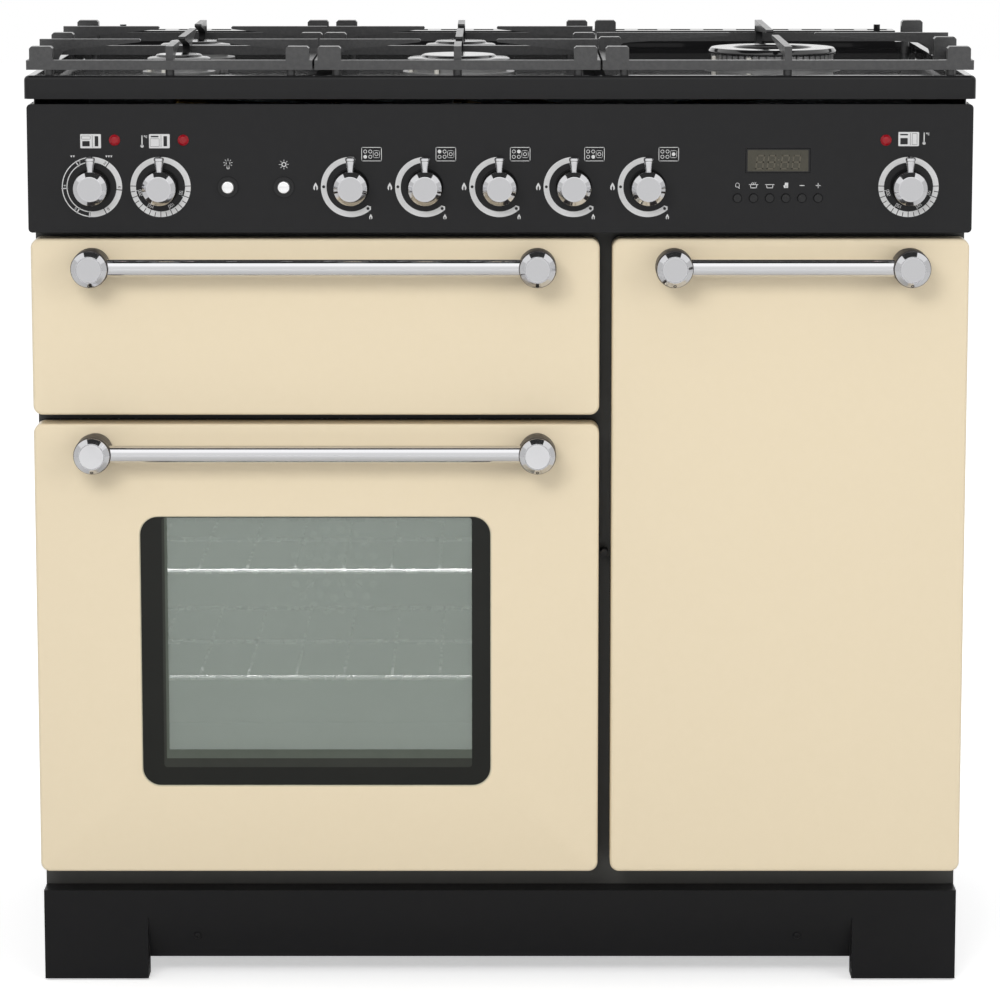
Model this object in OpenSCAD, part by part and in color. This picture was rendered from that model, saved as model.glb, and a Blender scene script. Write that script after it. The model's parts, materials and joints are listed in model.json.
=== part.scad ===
// Dual fuel range cooker, 90 cm wide: a five burner gas hotplate over an electric grill,
// a wide fan oven on the left and a tall fan oven on the right.
// The frame: X to the right, Y to the back, Z up. The origin is on the floor, in the middle
// of the footprint, which runs from the faces of the door handles to the back of the hotplate.

/* [Overall] */
// Width of the hotplate, the widest piece
hob_w = 900; // [890:5:930]
// Depth of the hotplate, front edge to back edge
hob_d = 610; // [600:5:640]
// Height of the hotplate's rim above the floor
hob_h = 889; // [884:1:905]
// Width over the side panels
body_w = 893; // [889:1:896]
// How far the back panel is set in from the back edge of the hotplate
rear_recess = 25; // [22:1:34]
// Thickness of the folded sheet steel
sheet = 1.5; // [1.2:0.1:2]
// Thickness of the front frame
frame_t = 3; // [2:0.5:4]
// Running clearance of a pin in its bore, on the radius
run_clear = 0.05; // [0.03:0.01:0.08]
// Gap between neighbouring pieces that don't touch
air = 0.3; // [0.2:0.1:0.5]

/* [Hotplate] */
// Height of the hotplate's front edge
hob_edge_h = 22; // [18:1:24]
// How far the hotplate overhangs the door faces
hob_overhang = 10; // [6:1:14]
// Width of the raised rim round the well
hob_rim = 11; // [9:1:13]
// Depth of the well below the rim
well_depth = 7; // [4:1:8]
// Plan radius of the hotplate's corners
hob_corner_r = 7; // [4:1:12]
// Height of the vent strip above the rim
vent_h = 11; // [6:1:16]
// Depth of the vent strip, front to back
vent_d = 46; // [36:1:56]
// Width of the vent strip
vent_w = 850; // [820:5:860]
// Number of slots in the vent strip
vent_slots = 24; // [12:1:30]

/* [Control panel] */
// How far the control panel reaches past the side panels, on each side
panel_over = 1.5; // [-1:0.5:2.5]
// Height of the control panel
panel_h = 122; // [118:1:126]
// How far the panel stands in front of the doors
panel_step = 5; // [3:1:8]
// Gap between the hotplate and the panel
panel_gap = 5.2; // [3:0.1:7]
// Corner radius of the panel's face
panel_corner_r = 4; // [2:1:8]
// Height of the spindles above the panel's lower edge
spindle_rise = 43.5; // [40:0.5:50]
// Radius of a spindle
spindle_r = 3; // [2.5:0.1:3.5]
// Radius of the panel's holes for the spindles
spindle_hole_r = 5; // [4.5:0.1:6]
// Distance of the first gas knob from the ignition button
gas_first_away = 63.7; // [56:0.1:72]
// Distance of the last gas knob from the middle of the display
gas_last_away = 123.2; // [112:0.1:130]
// Distance of the grill knob from the panel's left edge
grill_knob_in = 61; // [56:1:66]
// Distance between the grill knob and the left oven's knob
oven_knob_pitch = 65; // [63:1:71]
// Distance of the right oven's knob from the panel's right edge
right_knob_in = 60.5; // [56:0.5:68]

/* [Knobs] */
// Height of a knob above the panel
knob_h = 27; // [24:1:32]
// Radius of the chrome cap
knob_r = 16; // [14:0.5:18]
// Radius of the cap's flat face
knob_face_r = 11.6; // [9:0.1:12.5]
// Radius of the black skirt
skirt_r = 17; // [16:0.5:20]
// Height of the black skirt
skirt_h = 8; // [5:1:12]
// Gap between a knob and the panel
knob_gap = 1; // [0.6:0.2:2]
// Reach of the pointer from the knob's axis
pointer_reach = 29.7; // [26:0.1:32]
// Radius of the pointer at its outer end
pointer_r = 4.9; // [4:0.1:5.5]

/* [Buttons and lamps] */
// Radius of the two push buttons
button_r = 6; // [5:0.5:7]
// How far the two push buttons stand out
button_out = 7; // [6:0.5:9]
// Travel of the two push buttons
button_travel = 3; // [2:0.5:4]
// Distance of the oven light button from the left oven's knob
light_button_away = 64; // [60:1:68]
// Distance between the two push buttons
button_pitch = 53; // [44:1:56]
// Width of the timer's display
display_w = 60.5; // [56:0.5:64]
// Height of the timer's display
display_h = 22.6; // [20:0.2:25]
// Distance of the display's middle from the right oven's knob
display_away = 124; // [119:0.5:130]
// Height of the display above the spindles
display_rise = 25; // [22:1:28]
// Radius of a timer button
timer_button_r = 3.8; // [3:0.1:5]
// Distance between two timer buttons
timer_pitch = 15.3; // [13:0.1:16]
// Drop of the timer buttons below the spindles
timer_drop = 10.5; // [8:0.5:14]
// Travel of a timer button
timer_travel = 1.2; // [0.8:0.1:1.5]
// Radius of a lamp lens
lamp_r = 5.4; // [4:0.1:6]
// Height of the lamps above the spindles
lamp_rise = 44.5; // [41:0.5:50]
// Sideways distance from a knob to its lamp
lamp_shift = 22; // [20:0.5:26]

/* [Doors] */
// How far the doors reach past the side panels, on each side
doors_over = 0.5; // [-1:0.5:2]
// Width of the left doors
left_door_w = 542; // [538:1:546]
// Gap between the left and the right doors
door_gap = 12; // [10:1:14]
// Gap between the grill door and the oven door
door_split = 8.7; // [7:0.1:10]
// Gap between the panel and the doors
door_top_gap = 6.5; // [6:0.1:9]
// Height of the grill door
grill_door_h = 169.4; // [165:0.2:174]
// Height of the oven doors' lower edge above the plinth
door_low_gap = 23.5; // [18:0.5:28]
// Thickness of a door
door_t = 38; // [34:1:42]
// Thickness of a door's enamelled skin
skin = 2; // [1.5:0.1:2.5]
// Depth of a door's back pan
back_pan = 10; // [9:0.5:12]
// Gap between a door's back and the front frame
frame_gap = 6; // [5:0.5:8]
// Corner radius of the doors
door_corner_r = 9; // [6:1:12]
// Rounding of the doors' front edges
door_edge = 3; // [2:0.5:4]

/* [Door window] */
// Width of the window
window_w = 338.5; // [330:0.5:346]
// Distance of the window from the door's lower edge
window_rise = 85.3; // [79:0.1:93]
// Drop of the window below the door's upper edge
window_drop = 89.7; // [84:0.1:96]
// Corner radius of the window
window_corner_r = 18; // [12:1:24]
// Thickness of a glass pane
glass_t = 4; // [3:0.5:5]
// Overlap of a pane behind its opening
glass_lap = 12; // [8:1:16]
// How much smaller the inner window is on each side
inner_window_in = 12; // [8:1:18]

/* [Door handles] */
// How far a handle stands out from its door
handle_reach = 48; // [44:1:54]
// Diameter of a handle's bar
bar_d = 16.4; // [14:0.2:18]
// Diameter of a handle's end post
post_d = 35.6; // [32:0.2:38]
// Diameter of the flat face of an end post
post_face_d = 23.5; // [20:0.5:26]
// Distance from a door's side edge to the end post's axis
post_inset = 59.5; // [54:0.5:66]
// Drop of a handle below its door's upper edge
handle_drop = 24.6; // [22:0.2:28]
// Distance from the door's face to the bar's axis
bar_out = 30; // [27:0.5:33]

/* [Hinges and catches] */
// Radius of a hinge pin
pin_r = 2.4; // [2:0.1:2.6]
// Radius of a door's hinge knuckle
knuckle_r = 4.5; // [4:0.1:4.8]
// Height of a door's hinge knuckle
knuckle_h = 10; // [8:1:12]
// Distance of the side hinges' axis from the door's edge
hinge_in = 3; // [2.6:0.1:3.4]
// Distance of the lower side hinges from the doors' lower edge
hinge_low = 89; // [80:1:100]
// Distance of the upper side hinges from a door's upper edge
hinge_high = 81; // [70:1:90]
// Distance of the grill door's hinges from its side edges
grill_hinge_in = 24; // [20:1:30]
// Distance of the grill door's pivot behind its face
grill_pivot_in = 7; // [6.5:0.1:8]
// Distance of the grill door's pivot above its lower edge
grill_pivot_up = 6.5; // [6:0.1:7]
// Width of a hinge arm of the grill door
arm_w = 5; // [4:0.5:6]
// Radius of a door catch
catch_r = 4; // [3:0.5:4.5]

/* [Plinth and feet] */
// Height of the plinth
plinth_h = 91; // [88:1:94]
// How far the plinth's ends stand in from the side panels
plinth_in = 0; // [0:0.5:2]
// Set back of the plinth from the door faces
plinth_back = 18; // [14:1:22]
// Width of a plinth leg
leg_w = 101.5; // [95:0.5:108]
// Height of the upright band above the sloping part
slope_top = 64; // [60:1:68]
// Height of the plinth's lower lip above the floor
lip_z = 23; // [18:1:28]
// How far the sloping part leans back
slope_in = 17; // [12:1:20]
// Clearance of the plinth legs above the floor
leg_clear = 2; // [1:0.5:4]
// Height of the base tray above the floor
base_z = 68; // [64:1:72]
// Radius of a levelling foot's pad
foot_r = 18; // [14:1:22]
// Radius of a levelling foot's stem
stem_r = 5; // [4:0.5:6]
// Radius of a rear roller
roller_r = 20; // [17:0.5:23]
// Width of a rear roller
roller_w = 22; // [18:1:26]
// Distance of feet and rollers from the side panels
foot_in = 52; // [46:1:60]

/* [Pan supports] */
// Height of the pan supports' upper face above the rim
grate_rise = 27; // [24:1:30]
// Height of the frame bars' lower face above the rim
bar_rise = 5; // [4:0.5:7]
// Height of a frame bar
bar_h = 9; // [8:0.5:10]
// Width of a frame bar, seen from above
bar_w = 10; // [8:0.5:12]
// Thickness of a finger
finger_t = 7; // [6:0.5:9]
// Depth of a pan support, front to back
grate_d = 478; // [466:1:484]
// Distance of the pan supports from the hotplate's front edge
grate_front = 8; // [5:1:12]
// Distance of the outer pan supports from the hotplate's side edges
grate_side = 2; // [1:0.5:6]
// Gap between two pan supports
grate_gap = 2; // [1.5:0.5:5]
// Width of the right pan support
wide_grate_w = 351; // [344:1:358]
// Width of a corner tab
tab_w = 22; // [18:1:26]
// Depth of a tab, front to back
tab_d = 14; // [11:1:18]

/* [Burners] */
// Distance of the front burners from the hotplate's front edge
front_burner = 133; // [128:1:140]
// Distance between the front and the rear burners
burner_pitch = 228; // [220:1:236]
// Radius of the smallest burner's cap
small_cap_r = 31; // [28:1:34]
// Radius of the two rear burners' caps
medium_cap_r = 36; // [33:1:40]
// Radius of the front middle burner's cap
large_cap_r = 50; // [46:1:54]
// Outer radius of the ring burner
ring_cap_r = 64; // [58:1:70]
// Height of the caps' upper face above the rim
cap_rise = 12.5; // [11:0.5:14]

/* [Ovens and grill] */
// Distance from the left body side to the left cavities
left_cavity_in = 46; // [42:1:52]
// Width of the left cavities
left_cavity_w = 448; // [438:1:454]
// Drop of the left oven's roof below its door's upper edge
left_roof_drop = 45.2; // [40:0.1:55]
// Height of the oven floors above the oven doors' lower edge
oven_floor_rise = 45.5; // [40:0.5:51.5]
// Distance of the tall oven's cavity from its door's left edge
right_cavity_gap = 43.5; // [38:0.5:50]
// Distance from the right body side to the tall oven's cavity
right_cavity_in = 42; // [38:1:50]
// Drop of the tall oven's roof below its door's upper edge
right_roof_drop = 33.3; // [28:0.1:42]
// Height of the grill chamber's floor above its door's lower edge
grill_floor_rise = 25.9; // [22:0.1:34]
// Drop of the grill chamber's roof below the panel's lower edge
grill_drop = 25; // [22:1:30]
// Depth of the cavities
cavity_d = 420; // [405:1:430]
// Thickness of the cavity liners
liner_t = 2; // [1.5:0.1:2.5]
// Depth of the fan chamber behind its cover
fan_room = 42; // [38:1:48]
// Radius of the fan wheels
fan_r = 62; // [54:1:68]
// Radius of the ring heating elements
ring_element_r = 84; // [78:1:88]
// Radius of a rack's frame wire
wire_r = 2.5; // [2:0.1:3]
// Height of the left oven's lower rack above the oven floor
left_rack_rise = 135; // [125:1:140]
// Distance between two shelf places
shelf_pitch = 53; // [50:0.5:56]
// Distance between two cross wires of a rack
rack_pitch = 47; // [40:0.5:56]

/* [Hidden] */
$fn = 48;
// A cut runs past the face it opens by this much
over = 1;

// Depths, front to back
total_d = handle_reach + hob_d - hob_overhang;
door_y = -total_d / 2 + handle_reach;
hob_y0 = door_y - hob_overhang;
hob_y1 = hob_y0 + hob_d;
panel_y = door_y - panel_step;
panel_back_y = panel_y + sheet;
door_back_y = door_y + door_t;
pan_y = door_back_y - back_pan;
frame_y = door_back_y + frame_gap;
back_y = hob_y1 - rear_recess;
plinth_y = door_y + plinth_back;
side_y0 = frame_y + frame_t;

// Heights
hob_z0 = hob_h - hob_edge_h;
well_z = hob_h - well_depth;
well_under = well_z - sheet;
panel_z1 = hob_z0 - panel_gap;
panel_z0 = panel_z1 - panel_h;
spindle_z = panel_z0 + spindle_rise;
door_top = panel_z0 - door_top_gap;
grill_door_z = door_top - grill_door_h;
oven_top = grill_door_z - door_split;
oven_door_z = plinth_h + door_low_gap;
oven_door_h = oven_top - oven_door_z;
tall_door_h = door_top - oven_door_z;
window_h = oven_door_h - window_drop - window_rise;
frame_top = panel_z1 - 12;
pipe_z = frame_top + 4.5;
cavity_z = oven_door_z + oven_floor_rise;
left_cavity_h = oven_top - left_roof_drop - cavity_z;
right_cavity_h = door_top - right_roof_drop - cavity_z;
cavity_top = cavity_z + left_cavity_h;
grill_z1 = panel_z0 - grill_drop;
grill_z0 = grill_door_z + grill_floor_rise;
grill_h = grill_z1 - grill_z0;
left_rack_z = cavity_z + left_rack_rise;

// Places from left to right
panel_w = body_w + 2 * panel_over;
doors_w = body_w + 2 * doors_over;
plinth_w = body_w - 2 * plinth_in;
grill_knob_x = -panel_w / 2 + grill_knob_in;
left_knob_x = grill_knob_x + oven_knob_pitch;
right_knob_x = panel_w / 2 - right_knob_in;
light_button_x = left_knob_x + light_button_away;
ignition_button_x = light_button_x + button_pitch;
display_x = right_knob_x - display_away;
first_gas_x = ignition_button_x + gas_first_away;
gas_pitch = (display_x - gas_last_away - first_gas_x) / 4;
doors_x0 = -doors_w / 2;
left_x1 = doors_x0 + left_door_w;
right_x0 = left_x1 + door_gap;
right_door_w = doors_w / 2 - right_x0;
left_cav_x = -body_w / 2 + left_cavity_in;
right_cav_x = right_x0 + right_cavity_gap;
right_cavity_w = body_w / 2 - right_cavity_in - right_cav_x;
hinge_x = doors_w / 2 - hinge_in;
left_fan_x = left_cav_x + left_cavity_w / 2;
right_fan_x = right_cav_x + right_cavity_w / 2;
left_fan_z = cavity_z + left_cavity_h / 2;
right_fan_z = cavity_z + right_cavity_h / 2;
cavity_back_y = frame_y + cavity_d;
cover_y = cavity_back_y - fan_room;

// Pan supports and burners
grate_x0 = -hob_w / 2 + grate_side;
grate_x3 = hob_w / 2 - grate_side;
wide_x0 = grate_x3 - wide_grate_w;
pair_w = (wide_x0 - grate_x0 - 2 * grate_gap) / 2;
middle_x0 = grate_x0 + pair_w + grate_gap;
left_burner_x = grate_x0 + pair_w / 2;
middle_burner_x = middle_x0 + pair_w / 2;
right_burner_x = wide_x0 + wide_grate_w / 2;
front_burner_y = hob_y0 + front_burner;
rear_burner_y = front_burner_y + burner_pitch;
mid_burner_y = (front_burner_y + rear_burner_y) / 2;
grate_y0 = hob_y0 + grate_front;
bar_z0 = hob_h + bar_rise;
bar_z1 = bar_z0 + bar_h;
grate_top = hob_h + grate_rise;
cap_top = hob_h + cap_rise;
cap_t = 6;
cap_z = cap_top - cap_t;
BURNERS = [
    [left_burner_x, front_burner_y, small_cap_r],
    [left_burner_x, rear_burner_y, medium_cap_r],
    [middle_burner_x, front_burner_y, large_cap_r],
    [middle_burner_x, rear_burner_y, medium_cap_r],
    [right_burner_x, mid_burner_y, ring_cap_r]
];

function gas_knob_x(i) = first_gas_x + (i - 1) * gas_pitch;
function timer_button_x(i) = display_x + (i - 3.5) * timer_pitch;

// A block between two corners
module block(a, b) {
    translate(a) cube([b[0] - a[0], b[1] - a[1], b[2] - a[2]]);
}

// A round bar from one height or depth to the next, along X, Y or Z
module bar_x(x0, x1, y, z, r) {
    translate([x0, y, z]) rotate([0, 90, 0]) cylinder(r = r, h = x1 - x0);
}

module bar_y(x, y0, y1, z, r) {
    translate([x, y0, z]) rotate([-90, 0, 0]) cylinder(r = r, h = y1 - y0);
}

module bar_z(x, y, z0, z1, r) {
    translate([x, y, z0]) cylinder(r = r, h = z1 - z0);
}

// A rectangle with rounded corners, from its lower left corner
module round_rect(w, h, r) {
    translate([r, 0]) square([w - 2 * r, h]);
    translate([0, r]) square([w, h - 2 * r]);
    for (x = [r, w - r], y = [r, h - r]) translate([x, y]) circle(r = r);
}

// An upright plate with rounded corners: its lower left front corner, width, depth, height
module plate(x, y, z, w, d, h, r) {
    translate([x, y + d, z]) rotate([90, 0, 0]) linear_extrude(d) round_rect(w, h, r);
}

// A lying plate with rounded corners: its lower left front corner, width, depth, height
module slab(x, y, z, w, d, h, r) {
    translate([x, y, z]) linear_extrude(h) round_rect(w, d, r);
}

// An open box with its mouth to the front: its inner corner and inner size, and its wall
module liner(x, z, w, h, wall) {
    difference() {
        block([x - wall, frame_y, z - wall], [x + w + wall, cavity_back_y + wall, z + h + wall]);
        block([x, frame_y - over, z], [x + w, cavity_back_y, z + h]);
    }
}

// Casing

foot_x = body_w / 2 - foot_in;
foot_front = 50;
foot_y = side_y0 + foot_front;
roller_back = 70;
roller_y = back_y - roller_back;
pad_h = 8;
nut_h = 8;
nut_r = 9.5;
axle_r = 4;
cheek_t = 3;
cheek_w = 24;
cheek_low = 9;
cheek_gap = 0.5;
terminal_x = -300;
terminal_z = 640;
terminal_w = 90;
terminal_d = 22;
terminal_h = 70;
terminal_wall = 2;
terminal_gland_r = 7;
bracket_hole_pitch = 120;
bracket_hole_r = 3.2;
bracket_hole_z = 120;
louvre_pitch = 14;
louvre_h = 80;
inlet_in = 38;
inlet_x = body_w / 2 - inlet_in;
pipe_r = 8;
inlet_r = 10.4;
inlet_l = 22;

module roller_bracket(x) {
    for (side = [-1, 1]) {
        edge = x + side * (roller_w / 2 + cheek_gap + cheek_t / 2);
        block([edge - cheek_t / 2, roller_y - cheek_w / 2, roller_r - cheek_low],
            [edge + cheek_t / 2, roller_y + cheek_w / 2, base_z - air]);
    }
    bar_x(x - roller_w / 2 - cheek_gap - cheek_t, x + roller_w / 2 + cheek_gap + cheek_t,
        roller_y, roller_r, axle_r);
}

module base_tray() {
    wide = body_w / 2 - sheet;
    color("dimgray") {
        difference() {
            block([-wide, side_y0, base_z], [wide, back_y - sheet, plinth_h]);
            block([-wide + sheet, side_y0 + sheet, base_z + sheet],
                [wide - sheet, back_y - 2 * sheet, plinth_h + over]);
            for (x = [-foot_x, foot_x])
                bar_z(x, foot_y, base_z - over, base_z + sheet + over, stem_r + 0.1);
        }
        for (x = [-foot_x, foot_x]) roller_bracket(x);
    }
}

module side_panels() {
    low = base_z - 20;
    color("#2b2b2b") for (x = [-body_w / 2, body_w / 2 - sheet])
        block([x, side_y0, low], [x + sheet, back_y, hob_h - sheet]);
}

module back_panel() {
    wide = body_w / 2 - sheet;
    inner = terminal_w - 2 * terminal_wall;
    color("silver") difference() {
        union() {
            block([-wide, back_y - sheet, base_z], [wide, back_y, hob_h - sheet]);
            block([terminal_x - terminal_w / 2, back_y, terminal_z],
                [terminal_x + terminal_w / 2, back_y + terminal_d, terminal_z + terminal_h]);
        }
        block([terminal_x - inner / 2, back_y - sheet - over, terminal_z + terminal_wall],
            [terminal_x + inner / 2, back_y + terminal_d - terminal_wall,
                terminal_z + terminal_h - terminal_wall]);
        bar_z(terminal_x, back_y + terminal_d / 2, terminal_z - over,
            terminal_z + terminal_wall + over, terminal_gland_r);
        bar_y(inlet_x, back_y - sheet - over, back_y + over, spindle_z, pipe_r + air);
        for (i = [-0.5, 0.5])
            bar_y(i * bracket_hole_pitch, back_y - sheet - over, back_y + over,
                bracket_hole_z, bracket_hole_r);
        for (fan = [[left_fan_x, left_fan_z], [right_fan_x, right_fan_z]], i = [-4:4])
            block([fan[0] + i * louvre_pitch - 3, back_y - sheet - over, fan[1] - louvre_h / 2],
                [fan[0] + i * louvre_pitch + 3, back_y + over, fan[1] + louvre_h / 2]);
    }
}

module front_frame() {
    color("#1c1c1c") difference() {
        block([-body_w / 2, frame_y, plinth_h], [body_w / 2, side_y0, frame_top]);
        block([left_cav_x - liner_t, frame_y - over, cavity_z - liner_t],
            [left_cav_x + left_cavity_w + liner_t, side_y0 + over, cavity_top + liner_t]);
        block([left_cav_x - liner_t, frame_y - over, grill_z0 - liner_t],
            [left_cav_x + left_cavity_w + liner_t, side_y0 + over, grill_z1 + liner_t]);
        block([right_cav_x - liner_t, frame_y - over, cavity_z - liner_t],
            [right_cav_x + right_cavity_w + liner_t, side_y0 + over,
                cavity_z + right_cavity_h + liner_t]);
        bar_y(inlet_x, frame_y - over, side_y0 + over, spindle_z, pipe_r + air);
    }
}

// The plinth: a leg at each end, and between them a band that leans back to a lower lip
module plinth_leg(x) {
    depth = frame_y - plinth_y;
    difference() {
        block([x, plinth_y, leg_clear], [x + leg_w, plinth_y + depth, plinth_h]);
        block([x + sheet, plinth_y + sheet, leg_clear - over],
            [x + leg_w - sheet, plinth_y + depth + over, plinth_h - sheet]);
    }
}

module plinth() {
    lip_h = 4;
    inner = plinth_w / 2 - leg_w;
    color("#202020") {
        for (x = [-plinth_w / 2, inner]) plinth_leg(x);
        translate([-inner, 0, 0]) rotate([90, 0, 90]) linear_extrude(2 * inner)
            polygon([
                [frame_y, plinth_h], [plinth_y, plinth_h], [plinth_y, slope_top],
                [plinth_y + slope_in, lip_z], [plinth_y + slope_in + 3, lip_z - lip_h],
                [plinth_y + slope_in + 8, lip_z - lip_h],
                [plinth_y + slope_in + 8, lip_z - lip_h + sheet],
                [plinth_y + slope_in + 4, lip_z - lip_h + sheet],
                [plinth_y + slope_in + sheet, lip_z + sheet],
                [plinth_y + sheet, slope_top + sheet], [plinth_y + sheet, plinth_h - sheet],
                [frame_y, plinth_h - sheet]
            ]);
        block([-plinth_w / 2, frame_y, plinth_h - sheet],
            [plinth_w / 2, side_y0, plinth_h]);
    }
}

module levelling_feet() {
    color("dimgray") for (x = [-foot_x, foot_x]) {
        bar_z(x, foot_y, 0, pad_h, foot_r);
        bar_z(x, foot_y, 0, base_z + sheet + 12, stem_r);
        translate([x, foot_y, base_z - nut_h]) cylinder(r = nut_r, h = nut_h, $fn = 6);
    }
}

module roller(x) {
    color("#3a3a3a") difference() {
        bar_x(x - roller_w / 2, x + roller_w / 2, roller_y, roller_r, roller_r);
        bar_x(x - roller_w / 2 - over, x + roller_w / 2 + over, roller_y, roller_r,
            axle_r + run_clear);
    }
}

// Hotplate

vent_y = hob_y1 - vent_d;
bowl_z = pipe_z + 6;

function bowl_r(cap_r) = cap_r * 0.45;

module hotplate() {
    well_w = hob_w - 2 * hob_rim;
    well_y0 = hob_y0 + hob_rim;
    well_len = vent_y - hob_rim - well_y0;
    inner_w = hob_w - 2 * sheet;
    color("#303030") difference() {
        slab(-hob_w / 2, hob_y0, hob_z0, hob_w, hob_d, hob_edge_h, hob_corner_r);
        slab(-inner_w / 2, hob_y0 + sheet, hob_z0 - over, inner_w, hob_d - 2 * sheet,
            well_under - hob_z0 + over, hob_corner_r - sheet);
        difference() {
            slab(-inner_w / 2, hob_y0 + sheet, well_under - over, inner_w, hob_d - 2 * sheet,
                hob_h - sheet - well_under + over, hob_corner_r - sheet);
            slab(-well_w / 2 - sheet, well_y0 - sheet, well_under - 2 * over,
                well_w + 2 * sheet, well_len + 2 * sheet, 40, hob_corner_r + sheet);
        }
        slab(-well_w / 2, well_y0, well_z, well_w, well_len, 40, hob_corner_r);
        for (b = BURNERS) bar_z(b[0], b[1], well_under - over, well_z + over, bowl_r(b[2]) + air);
        for (i = [0:vent_slots - 1])
            block([vent_slot_x(i), vent_y + 10, hob_h - sheet - over],
                [vent_slot_x(i) + vent_slot_w(), hob_y1 - 12, hob_h + over]);
    }
}

function vent_slot_w() = vent_w / vent_slots * 0.6;
function vent_slot_x(i) = -vent_w / 2 + (i + 0.2) * vent_w / vent_slots;

// The vent strip over the oven flues, with its two small locating pegs
module vent_strip() {
    depth = vent_d - 6;
    color("#303030") {
        difference() {
            slab(-vent_w / 2, vent_y, hob_h, vent_w, depth, vent_h, 4);
            block([-vent_w / 2 + 2, vent_y + 2, hob_h - over],
                [vent_w / 2 - 2, vent_y + depth - 2, hob_h + vent_h - sheet]);
            for (i = [0:vent_slots - 1])
                block([vent_slot_x(i), vent_y + 14, hob_h],
                    [vent_slot_x(i) + vent_slot_w(), vent_y + depth - 8, hob_h + vent_h + over]);
        }
        for (x = [-vent_w / 2 + 17, vent_w / 2 - 17])
            bar_z(x, vent_y + depth - 5, hob_h + vent_h - sheet, hob_h + vent_h + 5, 3.5);
    }
}

// Pan supports: a frame of bars, corner tabs, and tapering fingers towards each burner

finger_tip = 3;
finger_root = 18;
tip_gap = 37;
foot_pad_r = 4.2;

// One finger along +X from its root, its upper edge level and its lower edge rising to the tip
module finger(length) {
    rise = grate_top - bar_z0 - 10;
    rotate([90, 0, 0]) translate([0, 0, -finger_t / 2]) linear_extrude(finger_t)
        polygon(concat(
            [[0, grate_top], [0, bar_z0], [finger_root, bar_z0]],
            [for (a = [15:15:90])
                [finger_root + 12 * (1 - cos(a)), bar_z0 + rise * sin(a)]],
            [[length - 1, grate_top - finger_tip], [length, grate_top - finger_tip + 1],
                [length, grate_top - 1], [length - 1, grate_top]]
        ));
}

// A tab on the frame, with its two upper corners cut
module tab(x, y) {
    cut = 2;
    translate([x, y + tab_d, 0]) rotate([90, 0, 0]) linear_extrude(tab_d)
        polygon([
            [0, bar_z0], [tab_w, bar_z0], [tab_w, grate_top - cut], [tab_w - cut, grate_top],
            [cut, grate_top], [0, grate_top - cut]
        ]);
}

module pan_support(x0, w, burners, gap) {
    x1 = x0 + w;
    y1 = grate_y0 + grate_d;
    pitch_edge = grate_d / len(burners);
    foot_z = well_z;
    color("#3c3c3c") {
        difference() {
            block([x0, grate_y0, bar_z0], [x1, y1, bar_z1]);
            block([x0 + bar_w, grate_y0 + bar_w, bar_z0 - over], [x1 - bar_w, y1 - bar_w, bar_z1 + over]);
        }
        for (y = [grate_y0, y1 - tab_d], x = [x0 + 3, x1 - 3 - tab_w]) tab(x, y);
        for (x = [x0, x1 - tab_w]) tab(x, mid_burner_y - tab_d / 2 - (len(burners) == 1 ? 75 : 0));
        if (len(burners) > 1)
            block([x0 + over, mid_burner_y - bar_w / 2, bar_z0],
                [x1 - over, mid_burner_y + bar_w / 2, bar_z1]);
        for (y = burners) {
            for (side = [0, 1])
                translate([side ? x1 : x0, y, 0]) rotate([0, 0, 180 * side]) finger(w / 2 - gap);
            front = max(grate_y0, y - pitch_edge / 2);
            rear = min(y1, y + pitch_edge / 2);
            translate([x0 + w / 2, front, 0]) rotate([0, 0, 90]) finger(y - gap - front);
            translate([x0 + w / 2, rear, 0]) rotate([0, 0, -90]) finger(rear - y - gap);
        }
        for (x = [x0 + 3 + tab_w - foot_pad_r, x0 + w / 2, x1 - 3 - tab_w + foot_pad_r],
            y = [grate_y0 + tab_d - foot_pad_r, y1 - tab_d + foot_pad_r])
            bar_z(x, y, foot_z, bar_z0 + over, foot_pad_r);
    }
}

module left_pan_support() {
    pan_support(grate_x0, pair_w, [front_burner_y, rear_burner_y], tip_gap);
}

module middle_pan_support() {
    pan_support(middle_x0, pair_w, [front_burner_y, rear_burner_y], tip_gap);
}

module right_pan_support() {
    pan_support(wide_x0, wide_grate_w, [mid_burner_y], tip_gap + 5);
}

// Burners: a bowl through the hotplate, a flange on it, and a slotted crown
function crown_r(r) = r - 3;

module burner_head(x, y, r) {
    flange_r = r + 4.5;
    crown_z = well_z + 5;
    ports = round(r * 0.8);
    hollow = r == ring_cap_r ? r * 0.56 : 0;
    translate([x, y, 0]) difference() {
        union() {
            bar_z(0, 0, bowl_z, well_z + 1, bowl_r(r));
            bar_z(0, 0, well_z, well_z + 3, flange_r);
            bar_z(0, 0, well_z, cap_z, crown_r(r));
        }
        bar_z(0, 0, bowl_z + 3, cap_z + over, bowl_r(r) - 3);
        if (hollow > 0) bar_z(0, 0, crown_z, cap_z + over, hollow);
        for (i = [0:ports - 1]) rotate([0, 0, 360 * i / ports])
            block([crown_r(r) - 4, -0.9, crown_z + 2], [crown_r(r) + over, 0.9, cap_z + over]);
        spark_notch(r);
    }
}

module spark_notch(r) {
    for (a = [200, 245]) rotate([0, 0, a]) translate([r - 1, 0, 0])
        bar_z(0, 0, well_z + 3, cap_z + over, 3.2);
}

module burner_heads() {
    color("#b8b8b8") for (b = BURNERS) burner_head(b[0], b[1], b[2]);
}

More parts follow.
